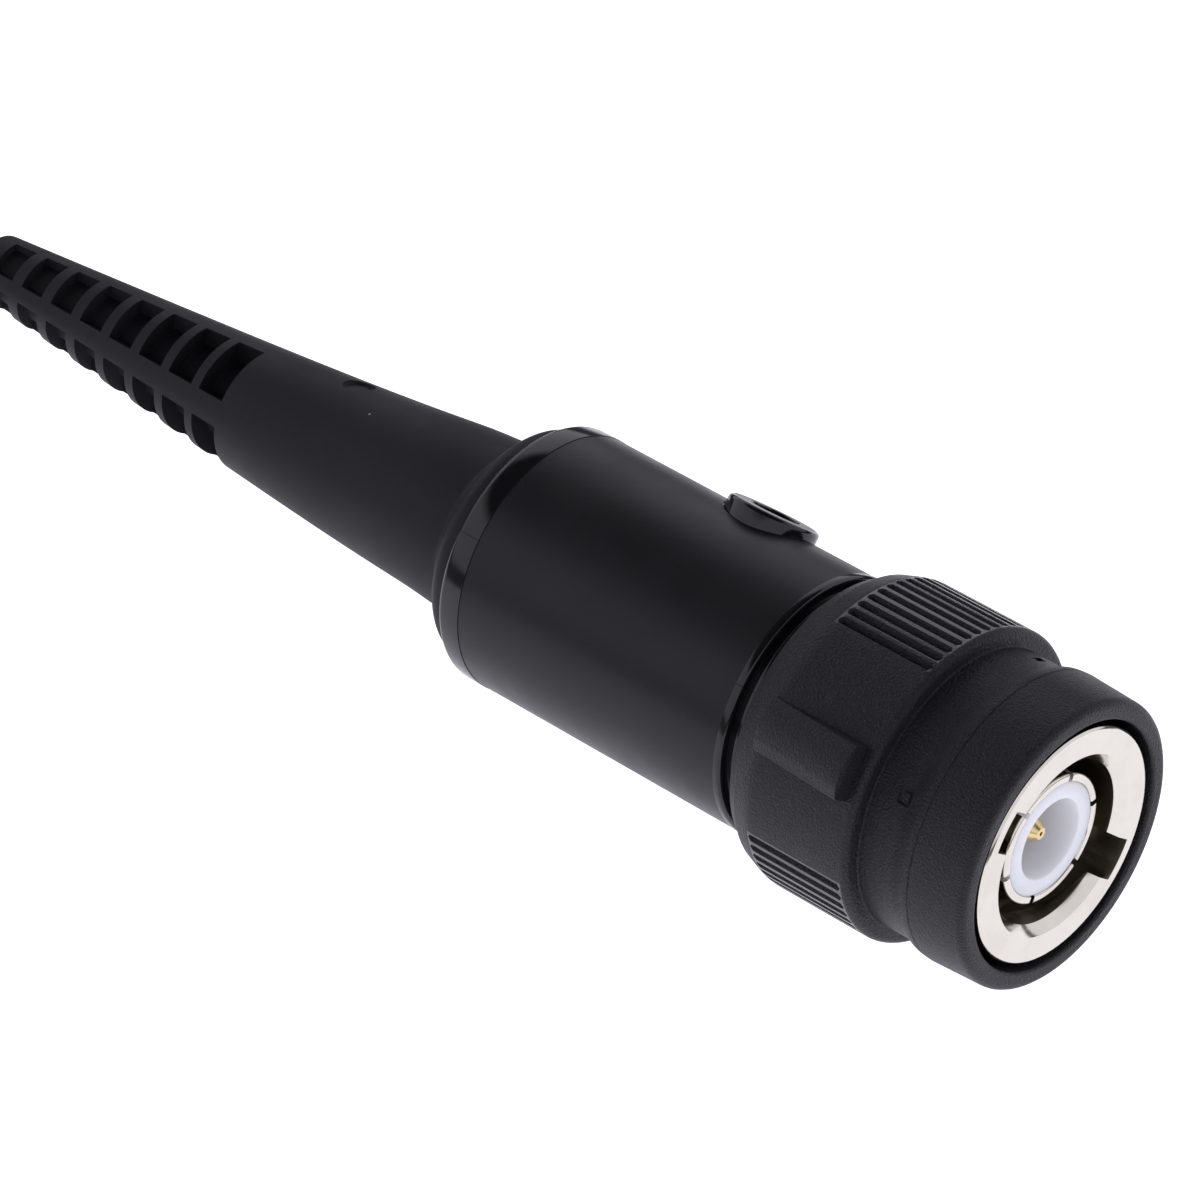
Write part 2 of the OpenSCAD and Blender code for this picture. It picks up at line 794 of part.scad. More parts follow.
module barrel_blank() {
    edge = 0.35;
    lip = 0.32;
    front = -barrel_front;
    turned(concat(
        [[nose_front, stem_r], [nose_front, nose_r - 0.3], [nose_front - 0.3, nose_r],
         [front + 0.75, nose_r], [front + 0.7, nose_r + lip],
         [front + 0.45, nose_r + lip], [front + 0.4, nose_r], [front, nose_r]],
        arc(front - edge, barrel_r - edge, edge, 0, 90),
        [[film_front, barrel_r], [film_front, film_bed_r],
         [film_rear, film_bed_r], [film_rear, barrel_r]],
        arc(barrel_rear + 0.3, barrel_r - 0.3, 0.3, 90, 180),
        [[barrel_rear, boot_neck_r], [rear_wall_front, boot_neck_r],
         [rear_wall_front, cavity_r], [nose_wall_rear, cavity_r],
         [nose_wall_rear, stem_r]]
    ));
    // ribs that hold the shield can
    for (x = [can_front - 3.2, can_rear + 2.8])
        tube(x, x - 0.8, cavity_r + e, can_r);
}

// Inner half of the wall along the joint, as tongue or as its groove.
module joint_layer(grow) {
    intersection() {
        tube(nose_wall_rear - tongue_inset + grow, rear_wall_front + tongue_inset - grow,
             tongue_r + grow, can_r - 1);
        at_clock(trimmer_clock)
            translate([-tip_back, -knob_d, -tongue_h - grow])
                cube([tip_back, 2 * knob_d, tongue_h + grow + e]);
    }
}

module trimmer_boss() {
    base = cavity_r + 0.15;
    shoulder = boss_top - boss_edge;
    at_clock(trimmer_clock) translate([trimmer_x, 0, 0]) {
        translate([0, 0, base]) cylinder(h = shoulder - base, r = boss_r);
        translate([0, 0, shoulder - e])
            cylinder(h = boss_edge + e, r1 = boss_r, r2 = boss_r - boss_edge);
    }
}

module shell_trimmer_side() {
    color(gloss_black)
    difference() {
        union() {
            intersection() {
                barrel_blank();
                shell_half(1);
            }
            intersection() {
                barrel_blank();
                joint_layer(0);
            }
            trimmer_boss();
        }
        at_clock(trimmer_clock)
            translate([trimmer_x, 0, can_r - 2]) cylinder(h = barrel_r, r = hole_r);
    }
}

module shell_plain_side() {
    color(gloss_black)
    difference() {
        intersection() {
            barrel_blank();
            shell_half(-1);
        }
        joint_layer(gap);
    }
}

// Film in the barrel's shallow bed, butted along the line under the boss.
module label_film() {
    color([0.12, 0.12, 0.13])
    difference() {
        turned_part(trimmer_clock - 180 + film_gap, trimmer_clock + 180 - film_gap, [
            [film_front - slip, film_bed_r], [film_front - slip, film_r],
            [film_rear + slip, film_r], [film_rear + slip, film_bed_r]
        ]);
        at_clock(trimmer_clock)
            translate([trimmer_x, 0, can_r - 2]) cylinder(h = barrel_r, r = boss_r + 0.1);
    }
}

// ---- Boot ------------------------------------------------------------------

module flex_windows() {
    for (i = [0:window_count - 1]) {
        front = -window_back - window_pitch * i;
        rear = front - window_len + 0.3 * i / window_count;
        for (row = [0:3])
            turned_part(window_clock + 90 * row - window_span / 2,
                        window_clock + 90 * row + window_span / 2, [
                [front, core_r(front)], [front, root_r],
                [rear, root_r], [rear, core_r(rear)]
            ]);
    }
}

module strain_relief_boot() {
    back = barrel_rear;
    top = boot_shoulder_r;
    plug_r = cavity_r - 0.55;
    crimp_bed_r = crimp_r + slip;
    color([0.13, 0.13, 0.13])
    difference() {
        turned(concat(
            [[boot_front, crimp_r + 0.6], [boot_front, plug_r],
             [rear_wall_front, plug_r], [rear_wall_front, boot_neck_r],
             [back, boot_neck_r], [back, top - 0.1], [back - 0.12, top]],
            // rounded shoulder
            [[back - 0.8, top - 0.1], [back - 1.4, top - 0.36],
             [back - 1.9, top - 0.75], [back - 2.25, top - 1.3],
             [back - 2.42, top - 1.9], [back - 2.5, root_r + 0.15],
             [root, root_r]],
            // cone and tip
            [[tip + 0.5, boot_r(tip + 0.5)], [tip + 0.15, boot_r(tip) - 0.1],
             [tip, tip_r - 0.35]],
            // cable bore, opening to the crimp's bed
            [[tip, cable_r], [crimp_rear - 4, cable_r], [crimp_rear - 1, crimp_bed_r],
             [boot_front - 0.6, crimp_bed_r]]
        ));
        flex_windows();
        // moulding gate beside the trimmer's line
        at_clock(gate_clock) translate([-gate_back, 0, boot_r(-gate_back) - 0.25])
            cylinder(h = 3, r = 1);
    }
}

// ---- Assembly --------------------------------------------------------------

coupling_sleeve();
bayonet_ring();
retaining_clip();
thrust_washer();
wave_washer();
plug_body();
outer_contact();
face_gasket();
front_insulator();
rear_insulator();
centre_pin();
lock_washer();
body_nut();
shield_can();
circuit_board();
ground_tabs();
trimmer_body();
trimmer_rotor();
trimmer_terminals();
chip_resistors();
chip_capacitors();
cable_ferrule();
crimp_sleeve();
shell_trimmer_side();
shell_plain_side();
label_film();
strain_relief_boot();
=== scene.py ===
"""Scope-end plug of a voltage probe: fine forms, finishes, light and camera.

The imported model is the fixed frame. Pieces that need soft edges are modelled here and
stand for their CAD nodes; the other nodes keep their own meshes and get a finish.
Sizes are in mm and angles in degrees. A clock angle goes about X, from -Y towards +Z.
"""
import logging
import math
from dataclasses import dataclass
from enum import Enum
from typing import Callable, Sequence

import bpy
from mathutils import Matrix, Vector


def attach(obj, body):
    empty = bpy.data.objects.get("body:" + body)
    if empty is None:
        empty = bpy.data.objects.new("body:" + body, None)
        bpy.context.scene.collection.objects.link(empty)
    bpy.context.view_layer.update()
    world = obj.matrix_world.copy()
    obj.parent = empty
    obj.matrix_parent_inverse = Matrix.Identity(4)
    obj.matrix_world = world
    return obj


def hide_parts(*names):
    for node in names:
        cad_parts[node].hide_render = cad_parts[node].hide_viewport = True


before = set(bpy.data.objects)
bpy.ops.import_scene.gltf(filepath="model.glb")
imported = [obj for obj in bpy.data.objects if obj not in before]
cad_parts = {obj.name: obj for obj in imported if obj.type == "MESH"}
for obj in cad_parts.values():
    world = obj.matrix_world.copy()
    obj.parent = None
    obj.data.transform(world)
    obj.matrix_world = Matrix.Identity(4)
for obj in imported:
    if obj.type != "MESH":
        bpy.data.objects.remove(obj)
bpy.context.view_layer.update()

MM = 0.001
WELD = 2e-6  # m, within which the points of a new mesh are merged
CAD_WELD = 1e-6  # m, the same for a CAD node's loose triangles
CAD_BEND = 0.4  # degrees, under which a CAD node's triangles are one face
HALVING_GAP = 1e-7  # m, within which a point lies on the plane of a cut
STRAIGHT = 179.0  # degrees, from which a corner isn't rounded
ARC_SHARE = 0.48  # most of a side that one corner's arc may take
OPPOSITE = (0, 180)
CLEAR = 1.0  # mm, by which a cutter stands out of what it cuts
FACING = 0.9  # least part of a unit normal along an axis for a face that looks along it

logging.basicConfig(level=logging.INFO, format="%(levelname)s %(message)s")
log = logging.getLogger("plug")

Piece = bpy.types.Object
Face = bpy.types.MeshPolygon
Material = bpy.types.Material
Node = bpy.types.Node
Tree = bpy.types.NodeTree
Socket = bpy.types.NodeSocket
Sockets = bpy.types.bpy_prop_collection
Point = tuple[float, float]
Corner = tuple[float, ...]
Colour = tuple[float, float, float]
FaceTest = Callable[[Face], bool]


class Body(Enum):
    """The bodies that pieces ride on."""

    BOX = "box"
    COUPLING = "coupling"


class Join(Enum):
    """How a boolean combines a piece with a tool."""

    CUT = "DIFFERENCE"
    ADD = "UNION"


# ---- Modelling helpers ----


def clock_dir(clock: float) -> Vector:
    """Unit vector away from the axis at a clock angle."""
    turn = math.radians(clock)
    return Vector((0.0, -math.cos(turn), math.sin(turn)))


def clock_matrix(clock: float) -> Matrix:
    """Rotation that carries +Z to a clock angle."""
    return Matrix.Rotation(math.radians(90.0 - clock), 4, "X")


def mode(name: str) -> None:
    """Changes Blender's mode, to EDIT or OBJECT."""
    bpy.ops.object.mode_set(mode=name)


def nothing_selected() -> None:
    """Leaves object mode with nothing selected, so an operator acts on new work only."""
    if bpy.context.mode != "OBJECT":
        mode("OBJECT")
    bpy.ops.object.select_all(action="DESELECT")


def only(piece: Piece) -> None:
    """Makes one object the active and only selected one."""
    nothing_selected()
    bpy.context.view_layer.objects.active = piece
    piece.select_set(True)


def new_piece(name: str) -> Piece:
    """Names the primitive just added and moves its place into its mesh.

    Args:
        name: Name of the new object.

    Returns:
        The object.
    """
    piece = bpy.context.object
    piece.name = name
    only(piece)
    bpy.ops.object.transform_apply(location=True, rotation=True, scale=True)
    return piece


def modify(piece: Piece, kind: str, **settings: object) -> None:
    """Puts one modifier on a piece and applies it.

    Args:
        piece: The piece to change.
        kind: Blender's name of the modifier's type.
        settings: The modifier's settings by name.
    """
    only(piece)
    modifier = piece.modifiers.new(kind.lower(), kind)
    for name, value in settings.items():
        setattr(modifier, name, value)
    bpy.ops.object.modifier_apply(modifier=modifier.name)


def smooth(piece: Piece, degrees: float) -> None:
    """Shades a piece smooth, with sharp edges kept and wide faces flat up to their edges.

    Args:
        piece: The piece to shade.
        degrees: Least angle of an edge that stays sharp.
    """
    only(piece)
    bpy.ops.object.shade_smooth_by_angle(angle=math.radians(degrees))
    modify(piece, "WEIGHTED_NORMAL", keep_sharp=True)


def bevelled(piece: Piece, width: float, segments: int = 2, degrees: float = 35.0) -> None:
    """Rounds a piece's sharp edges.

    Args:
        piece: The piece to round.
        width: Width of the bevel.
        segments: Faces across the bevel.
        degrees: Least angle of an edge that is rounded.
    """
    modify(piece, "BEVEL", width=width * MM, segments=segments, limit_method="ANGLE",
           angle_limit=math.radians(degrees), miter_outer="MITER_ARC")


def edit_all(piece: Piece) -> None:
    """Enters edit mode with the whole piece selected.

    Args:
        piece: The piece to edit.
    """
    only(piece)
    mode("EDIT")
    bpy.ops.mesh.select_all(action="SELECT")


def edit_faces(piece: Piece, test: FaceTest) -> None:
    """Enters edit mode with only the faces that pass a test selected.

    Args:
        piece: The piece to edit.
        test: Says whether a face is selected.
    """
    only(piece)
    mode("EDIT")
    bpy.ops.mesh.select_mode(type="FACE")
    bpy.ops.mesh.select_all(action="DESELECT")
    mode("OBJECT")
    for face in piece.data.polygons:
        face.select = test(face)
    mode("EDIT")


def end_edit() -> None:
    """Leaves edit mode, with vertices as what is selected next."""
    bpy.ops.mesh.select_mode(type="VERT")
    mode("OBJECT")


def resize(scale: Sequence[float], centre: Sequence[float] = (0.0, 0.0, 0.0)) -> None:
    """Scales what is selected about a centre."""
    bpy.ops.transform.resize(value=scale, center_override=[v * MM for v in centre])


def extrude(move: Sequence[float]) -> None:
    """Extrudes what is selected by a move."""
    bpy.ops.mesh.extrude_region_move(TRANSFORM_OT_translate={"value": [v * MM for v in move]})


def outward(piece: Piece) -> None:
    """Merges a closed mesh's doubles and turns its faces outwards.

    Args:
        piece: The piece to mend.
    """
    edit_all(piece)
    bpy.ops.mesh.remove_doubles(threshold=WELD)
    bpy.ops.mesh.normals_make_consistent(inside=False)
    mode("OBJECT")


def keep_side(piece: Piece, direction: Vector) -> None:
    """Cuts a closed piece through the axis and keeps one side, closed again.

    Args:
        piece: The piece to cut.
        direction: Points from the axis to the side that stays.
    """
    edit_all(piece)
    bpy.ops.mesh.bisect(plane_co=(0.0, 0.0, 0.0), plane_no=direction, use_fill=True,
                        clear_inner=True, threshold=HALVING_GAP)
    mode("OBJECT")


def fillet(corners: Sequence[Corner], steps: int = 5) -> list[Point]:
    """Rounds the corners of a closed outline that have a fillet radius.

    Args:
        corners: Corners as (x, radius) or (x, radius, fillet radius), in order.
        steps: Segments in each arc.

    Returns:
        The outline as (x, radius), with arcs in place of those corners.
    """
    done: list[Point] = []
    for index, corner in enumerate(corners):
        place = Vector(corner[:2])
        before = Vector(corners[index - 1][:2]) - place
        after = Vector(corners[(index + 1) % len(corners)][:2]) - place
        angle = before.angle(after, math.pi)
        if len(corner) < 3 or angle > math.radians(STRAIGHT):
            done.append(corner[:2])
            continue
        reach = min(corner[2] / math.tan(angle / 2), ARC_SHARE * before.length,
                    ARC_SHARE * after.length)
        radius = reach * math.tan(angle / 2)
        a, b = before.normalized(), after.normalized()
        middle = (a + b).normalized() * (radius / math.sin(angle / 2)) + place
        start, end = place + a * reach - middle, place + b * reach - middle
        for step in range(steps + 1):
            done.append(tuple(middle + start.slerp(end, step / steps).normalized() * radius))
    return done


def lathe(name: str, outline: Sequence[Point], segments: int) -> Piece:
    """Closed ring turned about X from an outline.

    Args:
        name: Name of the new object.
        outline: Closed outline as (x, radius).
        segments: Facets round the axis.

    Returns:
        The turned piece, with its place in its mesh.
    """
    nothing_selected()
    bpy.ops.mesh.primitive_circle_add(
        vertices=segments, radius=outline[0][1] * MM,
        location=(outline[0][0] * MM, 0.0, 0.0), rotation=(0.0, math.pi / 2, 0.0))
    piece = new_piece(name)
    edit_all(piece)
    for (x0, r0), (x1, r1) in zip(outline, [*outline[1:], outline[0]]):
        extrude((x1 - x0, 0.0, 0.0))
        resize((1.0, r1 / r0, r1 / r0), (x1, 0.0, 0.0))
    outward(piece)
    return piece


def box_at(name: str, low: Sequence[float], high: Sequence[float]) -> Piece:
    """Box between two corners.

    Args:
        name: Name of the new object.
        low: Corner with the lowest values.
        high: The opposite corner.

    Returns:
        The box.
    """
    nothing_selected()
    centre = [(a + b) / 2 * MM for a, b in zip(low, high)]
    bpy.ops.mesh.primitive_cube_add(size=1.0, location=centre)
    bpy.context.object.scale = [(b - a) * MM for a, b in zip(low, high)]
    return new_piece(name)


def peg_at(name: str, radius: float, low: float, high: float, x: float, sides: int) -> Piece:
    """Cylinder along Z at a station on the axis.

    Args:
        name: Name of the new object.
        radius: Its radius.
        low: Height of its foot.
        high: Height of its top.
        x: Its station.
        sides: Facets round it.

    Returns:
        The cylinder.
    """
    nothing_selected()
    bpy.ops.mesh.primitive_cylinder_add(
        vertices=sides, radius=radius * MM, depth=(high - low) * MM,
        location=(x * MM, 0.0, (low + high) / 2 * MM))
    return new_piece(name)


def turned(piece: Piece, clock: float) -> Piece:
    """Turns a piece made under +Z to a clock angle."""
    piece.data.transform(clock_matrix(clock))
    return piece


def turned_copy(piece: Piece, clock: float) -> Piece:
    """Copy of a piece made under +Z, with its own mesh, at a clock angle.

    Args:
        piece: The piece, which stays.
        clock: The copy's clock angle.

    Returns:
        The copy.
    """
    only(piece)
    bpy.ops.object.duplicate(linked=False)
    return turned(bpy.context.object, clock)


def joined(pieces: Sequence[Piece]) -> Piece:
    """Joins pieces into the first one.

    Args:
        pieces: Pieces that don't touch each other.

    Returns:
        The first piece, which now holds them all.
    """
    nothing_selected()
    for piece in pieces:
        piece.select_set(True)
    bpy.context.view_layer.objects.active = pieces[0]
    bpy.ops.object.join()
    return pieces[0]


def combine(piece: Piece, tool: Piece, how: Join = Join.CUT) -> None:
    """Combines a piece with a tool by an exact boolean, then deletes the tool.

    Args:
        piece: The piece that stays.
        tool: The cutter or addition.
        how: Cuts the tool away or adds it.
    """
    modify(piece, "BOOLEAN", operation=how.value, solver="EXACT", object=tool)
    bpy.data.objects.remove(tool)


def combine_round(piece: Piece, tool: Piece, clocks: Sequence[float],
                  how: Join = Join.CUT) -> None:
    """Combines a piece with copies of a tool round the axis, then deletes the tool.

    Args:
        piece: The piece that stays.
        tool: The cutter or addition, made under +Z.
        clocks: Clock angle of each copy.
        how: Cuts the copies away or adds them.
    """
    for clock in clocks:
        combine(piece, turned_copy(tool, clock), how)
    bpy.data.objects.remove(tool)


def node_copy(node: str, name: str) -> Piece:
    """Copy of a CAD node with its loose triangles merged.

    Args:
        node: The CAD node's name.
        name: Name of the new object.

    Returns:
        The copy, which no longer counts as a CAD node.
    """
    piece = bpy.data.objects.new(name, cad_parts[node].data.copy())
    piece.data.name = name
    bpy.context.scene.collection.objects.link(piece)
    edit_all(piece)
    bpy.ops.mesh.remove_doubles(threshold=CAD_WELD)
    bpy.ops.mesh.dissolve_limited(angle_limit=math.radians(CAD_BEND))
    mode("OBJECT")
    return piece


# ---- Material helpers ----


class Graph:
    """Short calls for building one node tree."""

    def __init__(self, tree: Tree) -> None:
        """Takes the tree of a material, a world or a group."""
        self.tree = tree

    def feed(self, target: Socket, value: object) -> None:
        """Links an input to a socket, or sets a value on it.

        Args:
            target: The input.
            value: A socket, a number or a tuple; a colour has three parts.
        """
        if isinstance(value, Socket):
            self.tree.links.new(value, target)
        else:
            target.default_value = (*value, 1.0) if target.type == "RGBA" else value

    def tune(self, node: Node, **values: object) -> Node:
        """Feeds a node's inputs by name, with _ for a space, and gives it back.

        Args:
            node: The node.
            values: A value or a socket by input name.

        Returns:
            The same node.
        """
        for name, value in values.items():
            self.feed(node.inputs[name.replace("_", " ")], value)
        return node

    def add(self, kind: str, *values: object, **settings: object) -> Node:
        """Adds a node.

        Args:
            kind: Blender's name of the node's type.
            values: A value or a socket for each of the first inputs.
            settings: The node's properties by name.

        Returns:
            The node.
        """
        node = self.tree.nodes.new(kind)
        for name, value in settings.items():
            setattr(node, name, value)
        for target, value in zip(node.inputs, values):
            self.feed(target, value)
        return node

    def math(self, operation: str, *values: object, clamp: bool = False) -> Socket:
        """Result of a Math node on numbers or sockets, kept in 0 to 1 by clamp."""
        node = self.add("ShaderNodeMath", *values, operation=operation, use_clamp=clamp)
        return node.outputs[0]

    def times(self, first: object, second: object) -> Socket:
        """Product of two numbers or sockets."""
        return self.math("MULTIPLY", first, second)

    def per_mm(self, size: Socket) -> Socket:
        """Rate that makes a size in mm one unit of a position."""
        return self.math("DIVIDE", 1.0, self.times(size, MM))

    def scaled(self, position: Socket, factor: object) -> Socket:
        """Position times a factor."""
        node = self.add("ShaderNodeVectorMath", position, operation="SCALE")
        return self.tune(node, Scale=factor).outputs["Vector"]

    def split(self, position: Socket) -> Sockets:
        """X, Y and Z of a position."""
        return self.add("ShaderNodeSeparateXYZ", position).outputs

    def noise(self, position: Socket, detail: float = 2.0, roughness: float = 0.5) -> Socket:
        """Noise with one feature per unit of position."""
        node = self.add("ShaderNodeTexNoise", position, noise_dimensions="3D")
        return self.tune(node, Scale=1.0, Detail=detail, Roughness=roughness).outputs["Fac"]

    def steps(self, value: Socket, low: float, high: float,
              to_low: float = 0.0, to_high: float = 1.0) -> Socket:
        """Maps a range smoothly to another, clamped.

        Args:
            value: What is mapped.
            low: Start of its range.
            high: End of its range.
            to_low: Result at the start.
            to_high: Result at the end.

        Returns:
            The result.
        """
        node = self.add("ShaderNodeMapRange", value, interpolation_type="SMOOTHSTEP")
        return self.tune(node, From_Min=low, From_Max=high, To_Min=to_low,
                         To_Max=to_high).outputs["Result"]

    def mix(self, factor: Socket, first: object, second: object) -> Socket:
        """Mixes two colours, each a tuple or a socket.

        Args:
            factor: Share of the second colour.
            first: Colour at 0.
            second: Colour at 1.

        Returns:
            The mixed colour.
        """
        node = self.add("ShaderNodeMix", factor, data_type="RGBA")
        self.feed(node.inputs[6], first)
        self.feed(node.inputs[7], second)
        return node.outputs[2]


# An effect draws from a group's graph, the position and the group's numbers, and gives
# the group's outputs by name.
Effect = Callable[..., dict[str, Socket]]


def group(effect: Effect, inputs: Sequence[str]) -> Tree:
    """Shader node group of an effect, built on first use and named after it.

    Args:
        effect: Draws the effect from a graph and the input sockets, and gives the outputs.
        inputs: Names of the number inputs, which follow the position.

    Returns:
        The group's tree.
    """
    name = effect.__name__
    if name in bpy.data.node_groups:
        return bpy.data.node_groups[name]
    tree = bpy.data.node_groups.new(name, "ShaderNodeTree")
    tree.interface.new_socket("Position", in_out="INPUT", socket_type="NodeSocketVector")
    for label in inputs:
        tree.interface.new_socket(label, in_out="INPUT", socket_type="NodeSocketFloat")
    graph = Graph(tree)
    entry = graph.add("NodeGroupInput").outputs
    results = effect(graph, *(entry[label] for label in ("Position", *inputs)))
    for label in results:
        tree.interface.new_socket(label, in_out="OUTPUT", socket_type="NodeSocketFloat")
    graph.tune(graph.add("NodeGroupOutput"), **results)
    return tree


def spark_grain(g: Graph, position: Socket, grain_mm: Socket) -> dict[str, Socket]:
    """Spark-eroded mould texture: a fine pebbled height and its brightest specks."""
    units = g.scaled(position, g.per_mm(grain_mm))
    coarse = g.noise(units, detail=1.5, roughness=0.6)
    fine = g.noise(g.scaled(units, 2.3), detail=1.0)
    height = g.math("ADD", g.times(coarse, 0.7), g.times(fine, 0.3))
    specks = g.steps(g.noise(g.scaled(units, 1.4), detail=0.0), 0.66, 0.76)
    return {"Height": height, "Specks": specks}


def handling(g: Graph, position: Socket, patch_mm: Socket) -> dict[str, Socket]:
    """Faint smears and polished patches that handling leaves."""
    broad = g.noise(g.scaled(position, g.per_mm(patch_mm)), detail=3.0, roughness=0.62)
    return {"Mask": g.steps(broad, 0.38, 0.66)}


def dust(g: Graph, position: Socket, spacing_mm: Socket, size: Socket) -> dict[str, Socket]:
    """Sparse pale specks of dust, in about a quarter of the cells they could be in."""
    cells = g.add("ShaderNodeTexVoronoi", g.scaled(position, g.per_mm(spacing_mm)),
                  voronoi_dimensions="3D", feature="F1")
    g.tune(cells, Scale=1.0)
    draw = g.add("ShaderNodeSeparateColor", cells.outputs["Color"]).outputs
    chosen = g.math("GREATER_THAN", draw[0], 0.72)
    near = g.math("LESS_THAN", cells.outputs["Distance"], g.times(draw[1], size))
    return {"Mask": g.times(chosen, near)}


def turning_lines(g: Graph, position: Socket, pitch_mm: Socket) -> dict[str, Socket]:
    """Fine rings that a lathe leaves round the X axis."""
    x, y, z = g.split(position)
    radius = g.math("SQRT", g.math("ADD", g.math("POWER", y, 2.0), g.math("POWER", z, 2.0)))
    rate = g.per_mm(pitch_mm)
    place = g.add("ShaderNodeCombineXYZ", g.times(radius, rate), g.times(x, rate))
    return {"Height": g.noise(place.outputs[0], detail=2.0, roughness=0.7)}


def drawn_lines(g: Graph, position: Socket, pitch_mm: Socket) -> dict[str, Socket]:
    """Fine lines along the X axis, as a broach or a draw leaves."""
    stretch = g.add("ShaderNodeVectorMath", g.scaled(position, g.per_mm(pitch_mm)),
                    (0.06, 1.0, 1.0), operation="MULTIPLY")
    return {"Height": g.noise(stretch.outputs["Vector"], detail=2.0, roughness=0.6)}


class Lines(Enum):
    """How a metal surface was worked."""

    TURNED = "turned"
    DRAWN = "drawn"

    @property
    def effect(self) -> Effect:
        """The effect that draws the lines."""
        return turning_lines if self is Lines.TURNED else drawn_lines


class Surface(Graph):
    """One material's graph, with its shader and the position on the piece."""

    def __init__(self, name: str, colour: Colour, roughness: float) -> None:
        """Makes the material with a plain base.

        Args:
            name: Name of the material.
            colour: Base colour, linear.
            roughness: Mean roughness.
        """
        self.material = bpy.data.materials.new(name)
        self.material.use_nodes = True
        super().__init__(self.material.node_tree)
        self.shader = self.tree.nodes["Principled BSDF"]
        self.position = self.add("ShaderNodeTexCoord").outputs["Object"]
        self.set(Base_Color=colour, Roughness=roughness)

    def set(self, **values: object) -> None:
        """Feeds the shader's inputs by name, with _ for a space."""
        self.tune(self.shader, **values)

    def place(self, effect: Effect, **values: float) -> Sockets:
        """Places an effect's group with its own values, and gives its outputs.

        Args:
            effect: The effect.
            values: Value by input name.

        Returns:
            The outputs by name.
        """
        tree = group(effect, [name.replace("_", " ") for name in values])
        node = self.add("ShaderNodeGroup", node_tree=tree)
        return self.tune(node, Position=self.position, **values).outputs

    def roughen(self, base: float, mask: Socket, change: float) -> None:
        """Sets the roughness to a base plus a change where the mask is."""
        self.set(Roughness=self.math("ADD", base, self.times(mask, change), clamp=True))

    def bump(self, height: Socket, depth_mm: float) -> None:
        """Feeds a height into the shader's normal.

        Args:
            height: The height.
            depth_mm: Depth that a height of 1 stands for.
        """
        node = self.tune(self.add("ShaderNodeBump"), Strength=1.0, Distance=depth_mm * MM,
                         Height=height)
        self.set(Normal=node.outputs["Normal"])


@dataclass(frozen=True)
class Finish:
    """What every finish has: a name, a plain base, wear and dust.

    Attributes:
        name: Name of the Blender material.
        colour: Base colour, linear.
        roughness: Mean roughness.
        patch_mm: Size of the patches that handling leaves.
        speck_mm: Spacing of the dust specks.
        speck_size: Size of a dust speck, as a share of the spacing.
        dusty: Strength of the dust specks.
        dust_colour: Colour of the dust specks.
        worn_share: Strength of the worn patches in the colour.
    """

    name: str
    colour: Colour
    roughness: float
    patch_mm: float = 5.0
    speck_mm: float = 3.0
    speck_size: float = 0.03
    dusty: float = 0.5
    dust_colour: Colour = (0.5, 0.5, 0.5)
    worn_share: float = 0.5

    def start(self) -> tuple[Surface, Socket]:
        """Makes the plain material, and the mask of the patches that handling leaves."""
        surface = Surface(self.name, self.colour, self.roughness)
        return surface, surface.place(handling, Patch_mm=self.patch_mm)["Mask"]

    def dusted(self, surface: Surface, base: object) -> Socket:
        """Colour with dust specks over it."""
        specks = surface.place(dust, Spacing_mm=self.speck_mm, Size=self.speck_size)["Mask"]
        return surface.mix(surface.times(specks, self.dusty), base, self.dust_colour)

    def build(self) -> Material:
        """Builds the material."""
        raise NotImplementedError


@dataclass(frozen=True)
class GrainedPolymer(Finish):
    """Matt moulded plastic or rubber with a spark-eroded grain.

    Attributes:
        grain_mm: Size of a grain.
        relief_mm: Depth of the grain.
        speck: How much paler the brightest specks are.
        specular: Specular level of the polymer.
        worn_tone: Darkness of the worn patches, as a share of the colour.
    """

    grain_mm: float = 0.2
    relief_mm: float = 0.02
    speck: float = 0.03
    specular: float = 0.5
    worn_tone: float = 0.8
    patch_mm: float = 7.0
    speck_mm: float = 3.4
    speck_size: float = 0.035
    dusty: float = 0.3
    dust_colour: Colour = (0.55, 0.55, 0.56)

    def build(self) -> Material:
        """Builds the grained polymer.

        Returns:
            The material.
        """
        s, worn = self.start()
        grain = s.place(spark_grain, Grain_mm=self.grain_mm)
        pale = tuple(tone + self.speck for tone in self.colour)
        deep = tuple(tone * self.worn_tone for tone in self.colour)
        base = s.mix(s.times(worn, self.worn_share), s.mix(grain["Specks"], self.colour, pale),
                     deep)
        s.set(Specular_IOR_Level=self.specular, Base_Color=self.dusted(s, base))
        s.roughen(self.roughness + 0.03, worn, change=-0.07)
        s.bump(grain["Height"], self.relief_mm)
        return s.material


@dataclass(frozen=True)
class PolishedPolymer(Finish):
    """Glossy moulded plastic with faint handling marks.

    Attributes:
        ior: Index of refraction.
        specular: Specular level.
        ripple_mm: Depth of the slight waviness of the surface.
        ripple_len: Length of its waves.
        ripple_detail: Detail in the waves.
        worn_change: Change of the roughness in the worn patches.
    """

    ior: float = 1.46
    specular: float = 0.5
    ripple_mm: float = 0.0008
    ripple_len: float = 2.2
    ripple_detail: float = 1.0
    worn_change: float = 0.09
    patch_mm: float = 4.0
    speck_mm: float = 2.6
    dusty: float = 1.0

    def build(self) -> Material:
        """Builds the polished polymer.

        Returns:
            The material.
        """
        s, worn = self.start()
        s.set(IOR=self.ior, Specular_IOR_Level=self.specular,
              Base_Color=self.dusted(s, self.colour))
        s.roughen(self.roughness, worn, self.worn_change)
        waves = s.scaled(s.position, 1 / (self.ripple_len * MM))
        s.bump(s.noise(waves, self.ripple_detail), self.ripple_mm)
        return s.material


